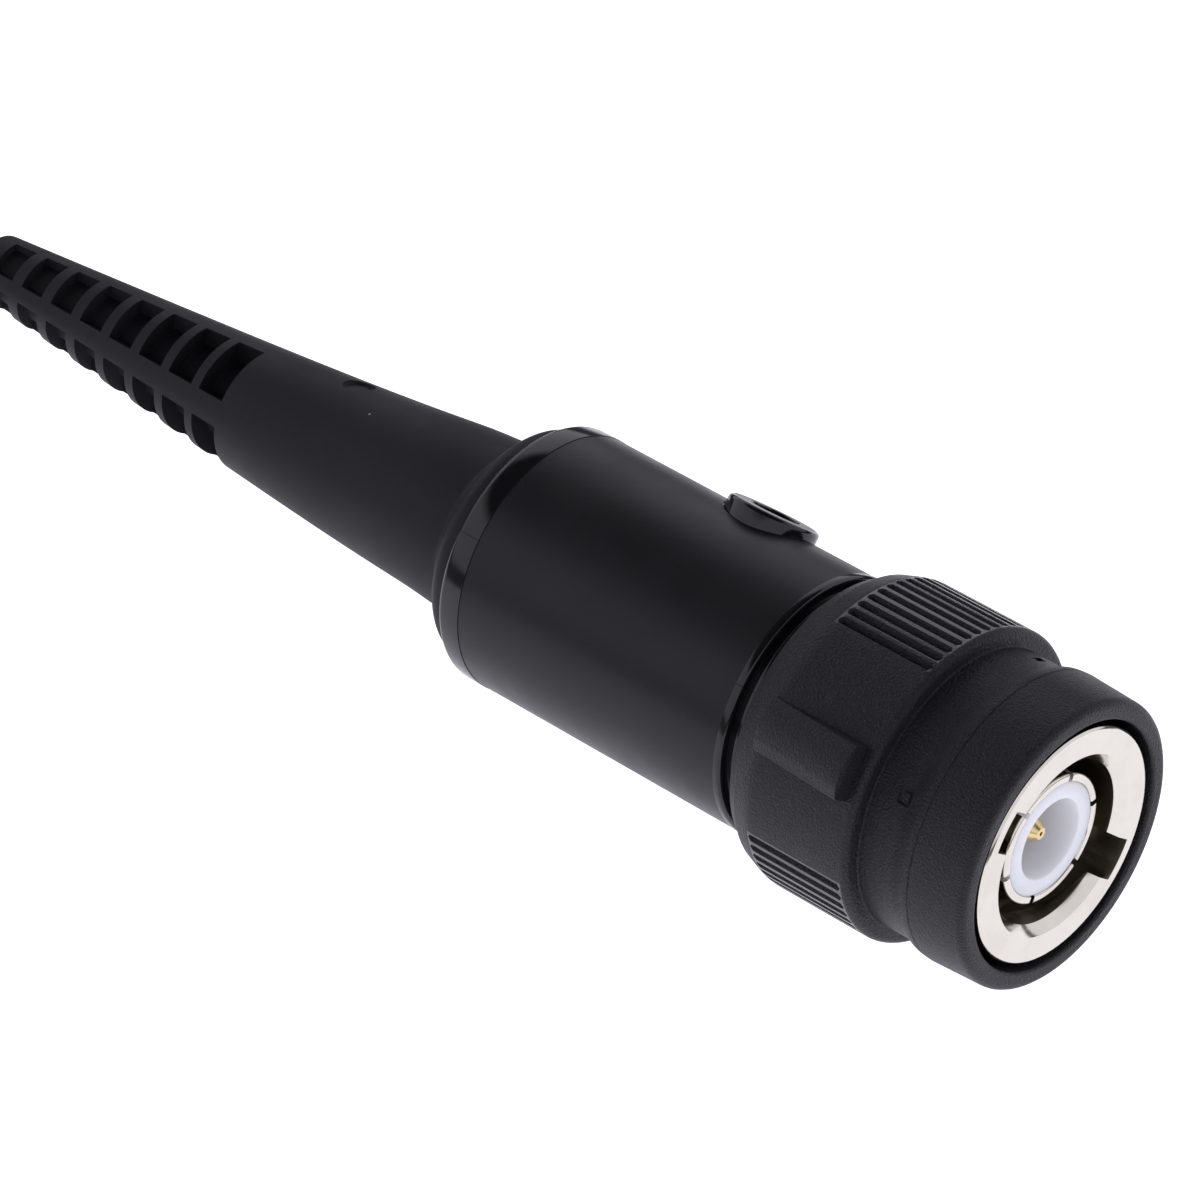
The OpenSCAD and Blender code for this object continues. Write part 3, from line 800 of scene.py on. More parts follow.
@dataclass(frozen=True)
class FilmStock(PolishedPolymer):
    """Satin label film, whose waviness is a fine orange peel."""

    ior: float = 1.5
    specular: float = 0.26
    ripple_mm: float = 0.006
    ripple_len: float = 0.16
    ripple_detail: float = 2.0
    worn_change: float = -0.06
    patch_mm: float = 5.0
    speck_mm: float = 3.0
    dusty: float = 0.5


@dataclass(frozen=True)
class PlatedMetal(Finish):
    """Turned and plated metal.

    Attributes:
        pitch_mm: Pitch of the turning rings.
        relief_mm: Depth of the rings.
        tarnish: Darker colour in patches.
        lines: How the surface was worked.
    """

    pitch_mm: float = 0.07
    relief_mm: float = 0.0015
    tarnish: Colour = (0.5, 0.46, 0.41)
    lines: Lines = Lines.TURNED
    patch_mm: float = 2.4
    worn_share: float = 0.25

    def build(self) -> Material:
        """Builds the plated metal.

        Returns:
            The material.
        """
        s, worn = self.start()
        rings = s.place(self.lines.effect, Pitch_mm=self.pitch_mm)["Height"]
        tone = s.times(s.math("ADD", worn, rings), self.worn_share)
        s.set(Metallic=1.0, Base_Color=s.mix(tone, self.colour, self.tarnish))
        s.roughen(self.roughness - 0.03, rings, change=0.1)
        s.bump(rings, self.relief_mm)
        return s.material


@dataclass(frozen=True)
class PalePolymer(Finish):
    """White machined insulator or pale ceramic.

    Attributes:
        scatter: Weight of the light that scatters inside.
        scatter_mm: How far that light goes.
        shade: Slightly darker colour in patches.
        painted_glow: Painted light, an emission that brightens the walls near the mouth.
        painted_glow_x: Where the painted glow ends and where it is full, along X.
        deep: Painted shade, the darker colour far from the mouth, used with the painted glow.
        pitch_mm: Pitch of the turning rings.
        relief_mm: Depth of the rings.
    """

    scatter: float = 0.2
    scatter_mm: float = 1.6
    shade: Colour = (0.8, 0.82, 0.87)
    painted_glow: float = 0.0
    painted_glow_x: tuple[float, float] = (-5.0, -0.3)
    deep: Colour = (0.6, 0.55, 0.51)
    pitch_mm: float = 0.12
    relief_mm: float = 0.002
    patch_mm: float = 1.8
    worn_share: float = 0.4

    def build(self) -> Material:
        """Builds the pale polymer.

        Returns:
            The material.
        """
        s, worn = self.start()
        s.set(Subsurface_Weight=self.scatter, Subsurface_Scale=self.scatter_mm * MM,
              Subsurface_Radius=(1.0, 0.95, 0.9))
        colour = self.colour
        # Painted light and shade: the insulator glows near the mouth, and further in its colour
        # turns to the darker deep colour.
        if self.painted_glow > 0.0:
            near = s.steps(s.split(s.position)["X"], *(x * MM for x in self.painted_glow_x))
            colour = s.mix(near, self.deep, self.colour)
            s.set(Emission_Color=self.colour, Emission_Strength=s.times(near, self.painted_glow))
        rings = s.place(turning_lines, Pitch_mm=self.pitch_mm)["Height"]
        s.set(Base_Color=s.mix(s.times(worn, self.worn_share), colour, self.shade))
        s.roughen(self.roughness, rings, change=0.08)
        s.bump(rings, self.relief_mm)
        return s.material


class Skin(Enum):
    """The finishes of the object."""

    SLEEVE = GrainedPolymer("sleeve_plastic", (0.0135, 0.0135, 0.0163), 0.4, grain_mm=0.14,
                            relief_mm=0.14, speck=0.022, specular=0.26)
    BOOT = GrainedPolymer("boot_rubber", (0.013, 0.013, 0.0158), 0.56, grain_mm=0.1,
                          relief_mm=0.008, speck=0.002, dusty=0.5, specular=0.22)
    # Painted shade: a darker copy of the boot rubber for the windows and the bore behind them.
    RECESS_SHADE = GrainedPolymer("boot_recess_painted_shade", (0.009, 0.009, 0.0105), 0.7, grain_mm=0.1,
                            relief_mm=0.006, speck=0.001, dusty=0.2, specular=0.14)
    # Painted highlight: a lighter, glossier copy of the sleeve plastic for the rib crests.
    CREST_HIGHLIGHT = GrainedPolymer("sleeve_crest_painted_highlight", (0.03, 0.03, 0.035), 0.24, grain_mm=0.14,
                           relief_mm=0.02, speck=0.006, specular=0.85)
    GASKET = GrainedPolymer("gasket_rubber", (0.03, 0.02, 0.015), 0.6, grain_mm=0.1,
                            relief_mm=0.006, speck=0.01)
    SHELL = PolishedPolymer("shell_gloss", (0.008, 0.008, 0.0095), 0.09)
    # Painted shade: a darker, nearly unreflecting copy of the shell plastic for the boss's flat
    # top.
    BOSS_TOP_SHADE = GrainedPolymer("boss_top_painted_shade", (0.006, 0.006, 0.007), 0.3, grain_mm=0.3,
                          relief_mm=0.001, speck=0.001, dusty=0.2, specular=0.07)
    ROTOR = PolishedPolymer("rotor_plastic", (0.02, 0.02, 0.022), 0.35)
    FILM = FilmStock("label_film_satin", (0.011, 0.011, 0.013), 0.4)
    NICKEL = PlatedMetal("bright_nickel", (0.74, 0.71, 0.63), 0.12,
                         tarnish=(0.58, 0.55, 0.47))
    # Painted shade: a darker, browner copy of the nickel for the bore, with real drawn streaks
    # and tarnish.
    BORE_SHADE = PlatedMetal("bore_painted_shade", (0.32, 0.28, 0.225), 0.27, pitch_mm=0.3, relief_mm=0.01,
                       tarnish=(0.08, 0.065, 0.045), lines=Lines.DRAWN)
    GOLD = PlatedMetal("pin_gold", (0.80, 0.64, 0.33), 0.2, tarnish=(0.62, 0.47, 0.22))
    STEEL = PlatedMetal("spring_steel", (0.56, 0.56, 0.57), 0.3)
    TIN = PlatedMetal("tinned_brass", (0.66, 0.60, 0.47), 0.34, tarnish=(0.45, 0.38, 0.27))
    # Its glow near the mouth is painted light, and its deep colour is painted shade in the bore.
    PTFE = PalePolymer("white_ptfe", (0.78, 0.80, 0.86), 0.38, scatter=0.85, painted_glow=0.1)
    CERAMIC = PalePolymer("trimmer_ceramic", (0.62, 0.47, 0.24), 0.45, scatter=0.0,
                          shade=(0.5, 0.36, 0.17))
    CHIP_CAP = PalePolymer("capacitor_ceramic", (0.32, 0.20, 0.11), 0.4, scatter=0.0,
                           shade=(0.24, 0.15, 0.08))
    CHIP_RES = PolishedPolymer("resistor_glaze", (0.015, 0.015, 0.017), 0.3)
    BOARD = PolishedPolymer("solder_mask", (0.008, 0.075, 0.028), 0.32)

    @property
    def material(self) -> Material:
        """The finish's material, built on first use."""
        return bpy.data.materials.get(self.value.name) or self.value.build()


def dress(piece: Piece, skin: Skin) -> None:
    """Gives a new piece or a CAD node one finish all over.

    Args:
        piece: The piece to dress.
        skin: The finish.
    """
    if not piece.data.materials:
        piece.data.materials.append(skin.material)
    for slot in piece.material_slots:
        slot.material = skin.material


def dress_faces(piece: Piece, skin: Skin, test: FaceTest) -> None:
    """Gives a dressed piece's faces that pass a test a second finish.

    Args:
        piece: The piece, which has one finish.
        skin: The second finish.
        test: Says whether a face gets it.
    """
    piece.data.materials.append(skin.material)
    for face in piece.data.polygons:
        if test(face):
            face.material_index = 1


def seat(piece: Piece, body: Body, node: str, degrees: float = 28.0) -> Piece:
    """Smooths a dressed piece and puts it in a CAD node's place.

    Args:
        piece: The dressed piece.
        body: The body it rides on.
        node: The CAD node it stands for, which is hidden.
        degrees: Least angle of an edge that stays sharp.

    Returns:
        The same piece.
    """
    smooth(piece, degrees)
    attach(piece, body.value)
    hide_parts(node)
    return piece


# ---- Coupling sleeve ----


@dataclass
class CouplingSleeve:
    """Insulating sleeve with a ribbed grip knob.

    Attributes:
        seam_form: Corners about the seam's station and the shroud's radius.
        knob_taper: Corners about the knob's rear station and radius.
        pad_slope: Width and height of the slope along a pad's long sides.
        pad_draft: Width of a pad's top, as a share of its foot.
        crown: How far a pad's top falls, and at what share of its width.
        mark_halves: Half the outer and the inner width of the square gate mark.
        latch_form: Reach of a latch slot forward, rearward and to each side.
        latch_turn: Clock angle of the latch slots from the pads.
    """

    facets: int = 240
    rim: float = 1.0
    mouth_r: float = 7.7
    shroud_r: float = 9.05
    rim_draft: float = 0.17
    seam: float = -2.78
    seam_form: tuple[Corner, ...] = (
        (0.07, 0.0), (0.0, -0.07), (-0.07, -0.01), (-0.5, -0.05, 0.9))
    shoulder_len: float = 1.45
    neck_r: float = 8.65
    knob_front: float = -6.65
    knob_rear: float = -16.05
    knob_r: float = 9.7
    knob_taper: tuple[Corner, ...] = (
        (2.2, 0.0, 2.4), (0.85, -0.45, 0.05), (0.8, -0.55), (0.0, -1.05, 0.06))
    skirt_r: float = 7.95
    skirt_front: float = -13.8
    bore_r: float = 7.25
    step_x: tuple[float, float, float] = (-10.9, -9.9, -3.4)
    step_r: float = 6.9
    clock: float = 33.5
    rib_count: int = 20
    rib_pitch: float = 4.9
    rib_depth: float = 0.42
    rib_half: float = 0.38
    rib_steep: float = 1.5
    rib_edge: float = 0.06
    rib_run: float = 0.2
    rib_front: float = -7.1
    rib_len: float = 6.8
    crest_depth: float = 0.07
    pad_front: float = -7.4
    pad_rear: float = -14.2
    pad_w: float = 3.4
    pad_h: float = 1.6
    pad_rear_h: float = 0.42
    pad_root: float = 0.8
    pad_draft: float = 0.95
    pad_slope: tuple[float, float] = (0.62, 0.52)
    pad_edge: float = 0.08
    crown: tuple[float, float] = (0.3, 0.4)
    mark_x: float = -4.6
    mark_halves: tuple[float, float] = (0.45, 0.27)
    mark_depth: float = 0.12
    mark_edge: float = 0.1
    latch_xs: tuple[float, float] = (-3.45, -4.95)
    latch_form: tuple[float, float, float] = (0.2, 0.3, 0.45)
    latch_depth: float = 0.5
    latch_turn: float = 88.0

    def outline(self) -> list[Point]:
        """Outline of the turned form, from the mouth round the outside to the bore.

        Returns:
            The outline as (x, radius).
        """
        step_rear, step_front, bore_front = self.step_x
        return fillet([
            (self.rim, self.mouth_r, 0.2), (self.rim, self.shroud_r - self.rim_draft, 0.5),
            *((self.seam + x, self.shroud_r + r, *arc) for x, r, *arc in self.seam_form),
            (self.seam - self.shoulder_len, self.neck_r, 1.2),
            (self.knob_front, self.neck_r, 0.12), (self.knob_front, self.knob_r, 0.42),
            *((self.knob_rear + x, self.knob_r + r, *arc) for x, r, *arc in self.knob_taper),
            (self.knob_rear, self.skirt_r, 0.1), (self.skirt_front, self.skirt_r),
            (self.skirt_front, self.bore_r), (step_rear, self.bore_r),
            (step_rear, self.step_r), (step_front, self.step_r), (step_front, self.bore_r),
            (bore_front, self.bore_r), (bore_front, self.mouth_r),
        ])

    def rib_cutter(self) -> Piece:
        """V groove under +Z, with an end that slopes up to the surface at each side.

        Returns:
            The cutter for one groove.
        """
        tall = self.rib_half * self.rib_steep
        axis_z = self.knob_r + tall - self.rib_depth
        nothing_selected()
        bpy.ops.mesh.primitive_cylinder_add(
            vertices=4, radius=self.rib_half * MM,
            depth=(self.rib_len - 2 * self.rib_run) * MM,
            location=((self.rib_front - self.rib_len / 2) * MM, 0.0, axis_z * MM),
            rotation=(0.0, math.pi / 2, 0.0))
        groove = new_piece("groove")
        edit_faces(groove, lambda face: True)
        resize((1.0, 1.0, self.rib_steep), (0.0, 0.0, axis_z))
        end_edit()
        clearance = 0.05
        share = (tall - self.rib_depth - clearance) / tall
        for side in (-1, 1):
            edit_faces(groove, lambda face: face.normal.x * side > FACING)
            extrude((side * self.rib_run, 0.0, 0.0))
            resize((1.0, share, share), (0.0, 0.0, axis_z))
            end_edit()
        return groove

    def cut_ribs(self, sleeve: Piece) -> None:
        """Cuts the two ribbed fields, every second groove at a time.

        Args:
            sleeve: The turned sleeve.
        """
        groove = self.rib_cutter()
        middle = (self.rib_count - 1) / 2
        for first in (0, 1):
            combine(sleeve, joined([
                turned_copy(groove, self.clock + field_clock + (i - middle) * self.rib_pitch)
                for field_clock in (90, 270) for i in range(first, self.rib_count, 2)]))
        bpy.data.objects.remove(groove)
        bevelled(sleeve, self.rib_edge, degrees=38.0)

    def is_crest(self, face: Face) -> bool:
        """Whether a face lies on the crests between the grooves, which get a painted highlight.

        Args:
            face: A face of the sleeve.

        Returns:
            True on a crest.
        """
        spread = math.cos(math.radians(self.rib_count / 2 * self.rib_pitch))
        out = Vector((0.0, face.center.y, face.center.z))
        return (self.rib_front - self.rib_len < face.center.x / MM < self.rib_front
                and out.length > (self.knob_r - self.crest_depth) * MM
                and abs(out.normalized().dot(clock_dir(self.clock + 90))) > spread)

    def pad(self) -> Piece:
        """Grip pad under +Z that rises to the front, with drafted sides and a crown.

        Returns:
            The pad, which reaches into the knob.
        """
        foot, top = self.knob_r - self.pad_root, self.knob_r + self.pad_h
        front, rear = self.pad_front, self.pad_rear
        run, rise = self.pad_slope
        half, near = self.pad_w / 2, 0.1
        pad = box_at("pad", (rear, -half, foot), (front, half, top - rise))
        edit_faces(pad, lambda face: face.normal.z > FACING)
        resize((1.0, self.pad_draft, 1.0))
        extrude((0.0, 0.0, rise))
        resize((1.0, 1.0 - run / (half * self.pad_draft), 1.0))
        bpy.ops.mesh.subdivide(number_cuts=7)
        end_edit()
        fall = (self.pad_h - self.pad_rear_h) / (front - rear)
        drop, reach = self.crown
        crown = drop / (self.pad_w * reach * MM) ** 2
        for vertex in pad.data.vertices:
            if vertex.co.z > (foot + near) * MM:
                vertex.co.z -= (front * MM - vertex.co.x) * fall
            if vertex.co.z > (top - near) * MM - (front * MM - vertex.co.x) * fall:
                vertex.co.z -= crown * MM * vertex.co.y ** 2
        bevelled(pad, self.pad_edge, degrees=28.0)
        return pad

    def gate_mark(self) -> Piece:
        """Cutter for the outline of a rounded square mark under +Z.

        Returns:
            The cutter.
        """
        mark, island = [
            box_at("mark", (self.mark_x - half, -half, self.neck_r - self.mark_depth),
                   (self.mark_x + half, half, self.neck_r + CLEAR))
            for half in self.mark_halves]
        for form in (mark, island):
            bevelled(form, self.mark_edge, segments=3)
        combine(mark, island)
        return mark

    def build(self) -> list[Piece]:
        """Builds the sleeve with its ribs, pads, gate marks and latch slots.

        Returns:
            The sleeve alone.
        """
        sleeve = lathe("sleeve", self.outline(), self.facets)
        self.cut_ribs(sleeve)
        sides = [self.clock + side for side in OPPOSITE]
        combine_round(sleeve, self.pad(), sides, Join.ADD)
        combine_round(sleeve, self.gate_mark(), sides)
        ahead, behind, half = self.latch_form
        for x in self.latch_xs:
            slot = box_at("latch", (x - behind, -half, self.neck_r - self.latch_depth),
                          (x + ahead, half, self.neck_r + 1.5 * CLEAR))
            combine_round(sleeve, slot, [side + self.latch_turn for side in sides])
        dress(sleeve, Skin.SLEEVE)
        # Painted highlight: the rib crests get the lighter copy of the sleeve plastic.
        dress_faces(sleeve, Skin.CREST_HIGHLIGHT, self.is_crest)
        return [seat(sleeve, Body.COUPLING, "coupling_sleeve", 30.0)]


# ---- Bayonet ring, contacts and insulator ----


@dataclass
class Plug:
    """Metal and white parts inside the mouth.

    Attributes:
        bright_facing: Least X part of the unit normal of the faces in the bore that keep the
            plain nickel; the others there get painted shade.
        finger_len: Length of the contact's slots, from its rim.
    """

    facets: int = 144
    ring_edge: float = 0.08
    bright_facing: float = 0.3
    channel_r: float = 6.7
    contact_r: float = 4.05
    contact_bore_r: float = 3.5
    contact_root: float = -5.3
    contact_seat: float = -6.5
    contact_root_r: float = 4.3
    contact_edge: float = 0.04
    finger_len: float = 4.6
    finger_slots: int = 6
    slot_w: float = 0.35
    slot_clock: float = 53.0
    insulator_face: float = -0.05
    insulator_bore_r: float = 2.475
    insulator_split: float = -8.0
    pin_collar_front: float = -6.4
    pin_collar_r: float = 1.225
    pin_root: float = -3.9
    pin_root_r: float = 0.975

    def ring(self) -> Piece:
        """Bayonet ring with softened edges, plain nickel in front and painted shade in its bore.

        Returns:
            The ring.
        """
        ring = node_copy("bayonet_ring", "bayonet_nut")
        bevelled(ring, self.ring_edge, degrees=40.0)
        dress(ring, Skin.NICKEL)
        # Painted shade: bore faces that turn away from the mouth get the darker, browner nickel.
        dress_faces(ring, Skin.BORE_SHADE, lambda face: (
            face.normal.x < self.bright_facing
            and face.center.yz.length < self.channel_r * MM))
        return seat(ring, Body.COUPLING, "bayonet_ring")

    def contact(self) -> Piece:
        """Slotted outer contact, turned with a rounded rim.

        Returns:
            The contact.
        """
        bore, outer = self.contact_bore_r, self.contact_r
        corners = [
            (0.0, bore, 0.12), (0.0, outer, 0.22), (self.contact_root, outer),
            (self.contact_root, self.contact_root_r),
            (self.contact_seat, self.contact_root_r), (self.contact_seat, bore),
        ]
        contact = lathe("contact_fingers", fillet(corners), self.facets)
        slot = box_at("slot", (-self.finger_len, -self.slot_w / 2, bore - CLEAR),
                      (CLEAR, self.slot_w / 2, outer + CLEAR))
        combine_round(contact, slot, [self.slot_clock + 360 / self.finger_slots * i
                                      for i in range(self.finger_slots)])
        bevelled(contact, self.contact_edge, degrees=50.0)
        dress(contact, Skin.NICKEL)
        return seat(contact, Body.BOX, "outer_contact", 40.0)

    def insulator(self) -> Piece:
        """White insulator with a crisp bore round the pin.

        Returns:
            The insulator.
        """
        face, outer, bore = self.insulator_face, self.contact_bore_r, self.insulator_bore_r
        corners = [
            (face, bore, 0.09), (face, outer, 0.12),
            (self.insulator_split, outer), (self.insulator_split, self.pin_collar_r),
            (self.pin_collar_front, self.pin_collar_r), (self.pin_collar_front, self.pin_root_r),
            (self.pin_root, self.pin_root_r), (self.pin_root, bore, 0.15),
        ]
        insulator = lathe("insulator", fillet(corners), self.facets)
        dress(insulator, Skin.PTFE)
        return seat(insulator, Body.BOX, "front_insulator", 40.0)

    def build(self) -> list[Piece]:
        """Builds the plug's visible pieces."""
        return [self.ring(), self.contact(), self.insulator()]


# ---- Barrel ----


@dataclass
class Barrel:
    """Glossy half shells, the boss over the trimmer and the film.

    Attributes:
        lip: Stations of the lip's four corners, from the barrel's front.
        boss_root: How far the boss reaches into the shell's wall.
        well_rim: Depth of the funnel at the well's mouth, and its reach above.
        well_flare: How much wider the funnel is at its top.
        rim_in: How much narrower than the well the funnel's foot is.
    """

    facets: int = 240
    peg_facets: tuple[int, int] = (128, 96)
    front: float = -17.2
    rear: float = -39.05
    outer_r: float = 8.19
    cavity_r: float = 6.95
    nose_front: float = -14.4
    nose_rear: float = -15.8
    nose_r: float = 7.5
    lip: tuple[float, ...] = (0.75, 0.7, 0.42, 0.37)
    lip_r: float = 7.82
    stem_r: float = 4.0
    neck_r: float = 5.2
    wall_front: float = -37.2
    joint_edge: float = 0.035
    film_front: float = -17.75
    film_rear: float = -37.4
    film_r: float = 8.16
    film_t: float = 0.1
    film_slip: float = 0.01
    film_edge: float = 0.04
    film_gap: float = 0.1
    clock: float = 129.5
    boss_x: float = -25.3
    boss_r: float = 2.85
    boss_top: float = 8.77
    boss_root: float = 0.15
    boss_edge: float = 0.26
    hole_r: float = 1.55
    well_rim: tuple[float, float] = (0.1, 0.4)
    well_flare: float = 0.5
    rim_in: float = 0.02

    def blank(self) -> Piece:
        """Both shells as one turned form.

        Returns:
            The closed form.
        """
        bed_r = self.film_r - self.film_t
        a, b, c, d = (self.front + x for x in self.lip)
        return lathe("barrel_blank", fillet([
            (self.nose_front, self.stem_r), (self.nose_front, self.nose_r, 0.3),
            (a, self.nose_r), (b, self.lip_r, 0.1), (c, self.lip_r, 0.1), (d, self.nose_r),
            (self.front, self.nose_r), (self.front, self.outer_r, 0.3),
            (self.film_front, self.outer_r, 0.015), (self.film_front, bed_r),
            (self.film_rear, bed_r), (self.film_rear, self.outer_r, 0.015),
            (self.rear, self.outer_r, 0.4), (self.rear, self.neck_r),
            (self.wall_front, self.neck_r), (self.wall_front, self.cavity_r),
            (self.nose_rear, self.cavity_r), (self.nose_rear, self.stem_r),
        ]), self.facets)

    def half(self, name: str, side: int) -> Piece:
        """One half shell, with a fine bevel along the joint.

        Args:
            name: Name of the half.
            side: 1 for the half with the boss, -1 for the plain one.

        Returns:
            The half shell.
        """
        shell = self.blank()
        shell.name = name
        keep_side(shell, clock_dir(self.clock) * side)
        bevelled(shell, self.joint_edge, segments=1, degrees=60.0)
        return shell

    def add_boss(self, shell: Piece) -> None:
        """Adds the flat-topped boss and its well to the half that carries it.

        Args:
            shell: The half shell.
        """
        many, fewer = self.peg_facets
        boss = peg_at("boss", self.boss_r, self.cavity_r + self.boss_root, self.boss_top,
                      self.boss_x, many)
        bevelled(boss, self.boss_edge, segments=4)
        combine(shell, turned(boss, self.clock), Join.ADD)
        well = peg_at("well", self.hole_r, self.cavity_r - 2 * CLEAR, self.boss_top + CLEAR,
                      self.boss_x, fewer)
        below, above = self.well_rim
        rim = peg_at("rim", self.hole_r - self.rim_in, self.boss_top - below,
                     self.boss_top + above, self.boss_x, fewer)
        edit_faces(rim, lambda face: face.normal.z > FACING)
        spread = (self.hole_r + self.well_flare) / self.hole_r
        resize((spread, spread, 1.0), (self.boss_x, 0.0, 0.0))
        end_edit()
        for tool in (well, rim):
            combine(shell, turned(tool, self.clock))

    def is_boss_top(self, face: Face) -> bool:
        """Whether a face lies on the boss's flat top, inside its glossy rims, which gets painted
        shade.
        """
        out, level, near = clock_dir(self.clock), 0.985, 0.05
        return (face.normal.dot(out) > level
                and face.center.dot(out) > (self.boss_top - near) * MM)

    def film(self) -> Piece:
        """Label film in the shells' bed, butted under the barrel and open round the boss.

        Returns:
            The film.
        """
        front, rear = self.film_front - self.film_slip, self.film_rear + self.film_slip
        inner, low, high = self.film_r - self.film_t, 5.0, 10.0
        corners = [(front, inner), (front, self.film_r, self.film_edge),
                   (rear, self.film_r, self.film_edge), (rear, inner)]
        film = lathe("barrel_film", fillet(corners, 2), self.facets)
        hole = peg_at("hole", self.boss_r + self.film_gap, low, high, self.boss_x,
                      self.peg_facets[0])
        combine(film, turned(hole, self.clock))
        butt = box_at("butt", (rear - CLEAR, -self.film_gap, low),
                      (front + CLEAR, self.film_gap, high))
        combine(film, turned(butt, self.clock + 180))
        return film

    def build(self) -> list[Piece]:
        """Builds the barrel's visible pieces.

        Returns:
            The two half shells and the film.
        """
        boss_half = self.half("barrel_boss_half", 1)
        self.add_boss(boss_half)
        pieces = [boss_half, self.half("barrel_plain_half", -1), self.film()]
        nodes = ("shell_trimmer_side", "shell_plain_side", "label_film")
        for piece, node, skin in zip(pieces, nodes, (Skin.SHELL, Skin.SHELL, Skin.FILM)):
            dress(piece, skin)
            seat(piece, Body.BOX, node)
        # Painted shade: the boss's flat top gets the darker, nearly unreflecting copy of the
        # shell.
        dress_faces(boss_half, Skin.BOSS_TOP_SHADE, self.is_boss_top)
        return pieces


# ---- Strain relief boot ----


@dataclass
class Boot:
    """Tapered rubber boot with rows of flex windows.

    Attributes:
        mouth_lip: Length and height of the chamfer at the front of the crimp's bed.
        bed_taper: Length of the cone behind the crimp's bed.
        bore_start: Where the plain bore starts, behind the crimp.
        collar: Corners about the back's station and the shoulder's radius.
        core_walls: Core's wall round the bore at the first window and at the tip.
        window_shrink: How much shorter the last window is than the first.
        window_rows: Clock angle and width of each row of windows.
        window_skin: Depth from which a window's wall counts as recess.
        recess_lead: How far before the windows the recess may start.
        sag: How far the tail hangs.
        sag_reach: Length over which the tail bends.
        sag_ease: Length over which the bend sets in.
    """

    facets: int = 160
    front: float = -35.75
    plug_r: float = 6.4
    wall_front: float = -37.2
    neck_r: float = 5.2
    back: float = -39.05
    shoulder_r: float = 7.55
    collar: tuple[Corner, ...] = ((0.0, 0.0, 0.14), (-1.15, -0.05, 1.5), (-2.1, -1.5, 1.0))
    root: float = -41.7
    root_r: float = 5.6
    tip: float = -84.7
    tip_r: float = 2.1
    bore_r: float = 1.35
    crimp_rear: float = -45.0
    crimp_bed_r: float = 3.05
    mouth_lip: tuple[float, float] = (0.6, 0.55)
    bed_taper: float = 1.0
    bore_start: float = 4.0
    core_walls: tuple[float, float] = (1.3, 0.35)
    window_front: float = -61.5
    window_pitch: float = 2.81
    window_count: int = 8
    window_len: float = 2.12
    window_shrink: float = 0.3
    window_edge: float = 0.22
    window_rows: tuple[tuple[float, float], ...] = (
        (66.5, 61.0), (158.0, 50.0), (243.0, 61.0), (336.0, 71.0))
    window_skin: float = 0.35
    recess_lead: float = 0.5
    gate_x: float = -54.4
    gate_facets: int = 48
    gate_r: float = 1.0
    gate_depth: float = 0.3
    gate_edge: float = 0.2
    gate_clock: float = 107.0
    sag_start: float = -45.0
    sag: float = 0.7
    sag_reach: float = 9.0
    sag_ease: float = 1.0
    stations: int = 45

    def surface_r(self, x: float) -> float:
        """Radius of the cone at a station."""
        share = (x - self.root) / (self.tip - self.root)
        return self.root_r + share * (self.tip_r - self.root_r)

    def core_r(self, x: float) -> float:
        """Radius of the core at the bottom of the windows."""
        first, last = (self.bore_r + wall for wall in self.core_walls)
        share = (x - self.window_front) / (self.tip - self.window_front)
        return first + share * (last - first)

    def blank(self) -> Piece:
        """Boot without its windows.

        Returns:
            The turned boot.
        """
        share = [i / self.stations for i in range(1, self.stations)]
        span = self.tip - self.root
        bore_end = self.crimp_rear - self.bore_start
        lip_len, lip_h = self.mouth_lip
        return lathe("boot", fillet([
            (self.front, self.crimp_bed_r + lip_h), (self.front, self.plug_r),
            (self.wall_front, self.plug_r), (self.wall_front, self.neck_r),
            (self.back, self.neck_r),
            *((self.back + x, self.shoulder_r + r, *arc) for x, r, *arc in self.collar),
            (self.root, self.root_r, 0.5),
            *((self.root + span * t, self.surface_r(self.root + span * t)) for t in share),
            (self.tip, self.tip_r, 0.75), (self.tip, self.bore_r),
            *((self.tip + (bore_end - self.tip) * t, self.bore_r) for t in share),
            (bore_end, self.bore_r), (self.crimp_rear - self.bed_taper, self.crimp_bed_r),
            (self.front - lip_len, self.crimp_bed_r),
        ], 8), self.facets)

    def window_cutter(self, index: int, clock: float, span: float) -> Piece:
        """Cutter for one window, with rounded corners.

        Args:
            index: Number of the window in its row, from the front.
            clock: Clock angle of the row.
            span: Width of the window in degrees.

        Returns:
            The cutter.
        """
        front = self.window_front - self.window_pitch * index
        rear = front - self.window_len + self.window_shrink * index / self.window_count
        outer = self.root_r + CLEAR / 2
        cutter = lathe("window", [(front, self.core_r(front)), (front, outer),
                                  (rear, outer), (rear, self.core_r(rear))], self.facets)
        for side in (-1, 1):
            keep_side(cutter, clock_dir(90.0 + side * (span / 2 - 90.0)))
        bevelled(cutter, self.window_edge, segments=3, degrees=40.0)
        outward(cutter)
        return turned(cutter, clock)

    def is_recess(self, face: Face) -> bool:
        """Whether a face lies inside the windows or the bore behind them, which get painted
        shade.
        """
        x, radius = face.center.x / MM, face.center.yz.length / MM
        return (x < self.window_front + self.recess_lead
                and radius < self.surface_r(x) - self.window_skin)

    def let_sag(self, boot: Piece) -> None:
        """Lets the soft tail hang a little, as rubber does behind the stiff crimp.

        Args:
            boot: The boot with its windows.
        """
        for vertex in boot.data.vertices:
            behind = self.sag_start - vertex.co.x / MM
            if behind > 0.0:
                eased = behind ** 2 / (behind + self.sag_ease)
                vertex.co.z -= self.sag * MM * (1.0 - math.exp(-eased / self.sag_reach))

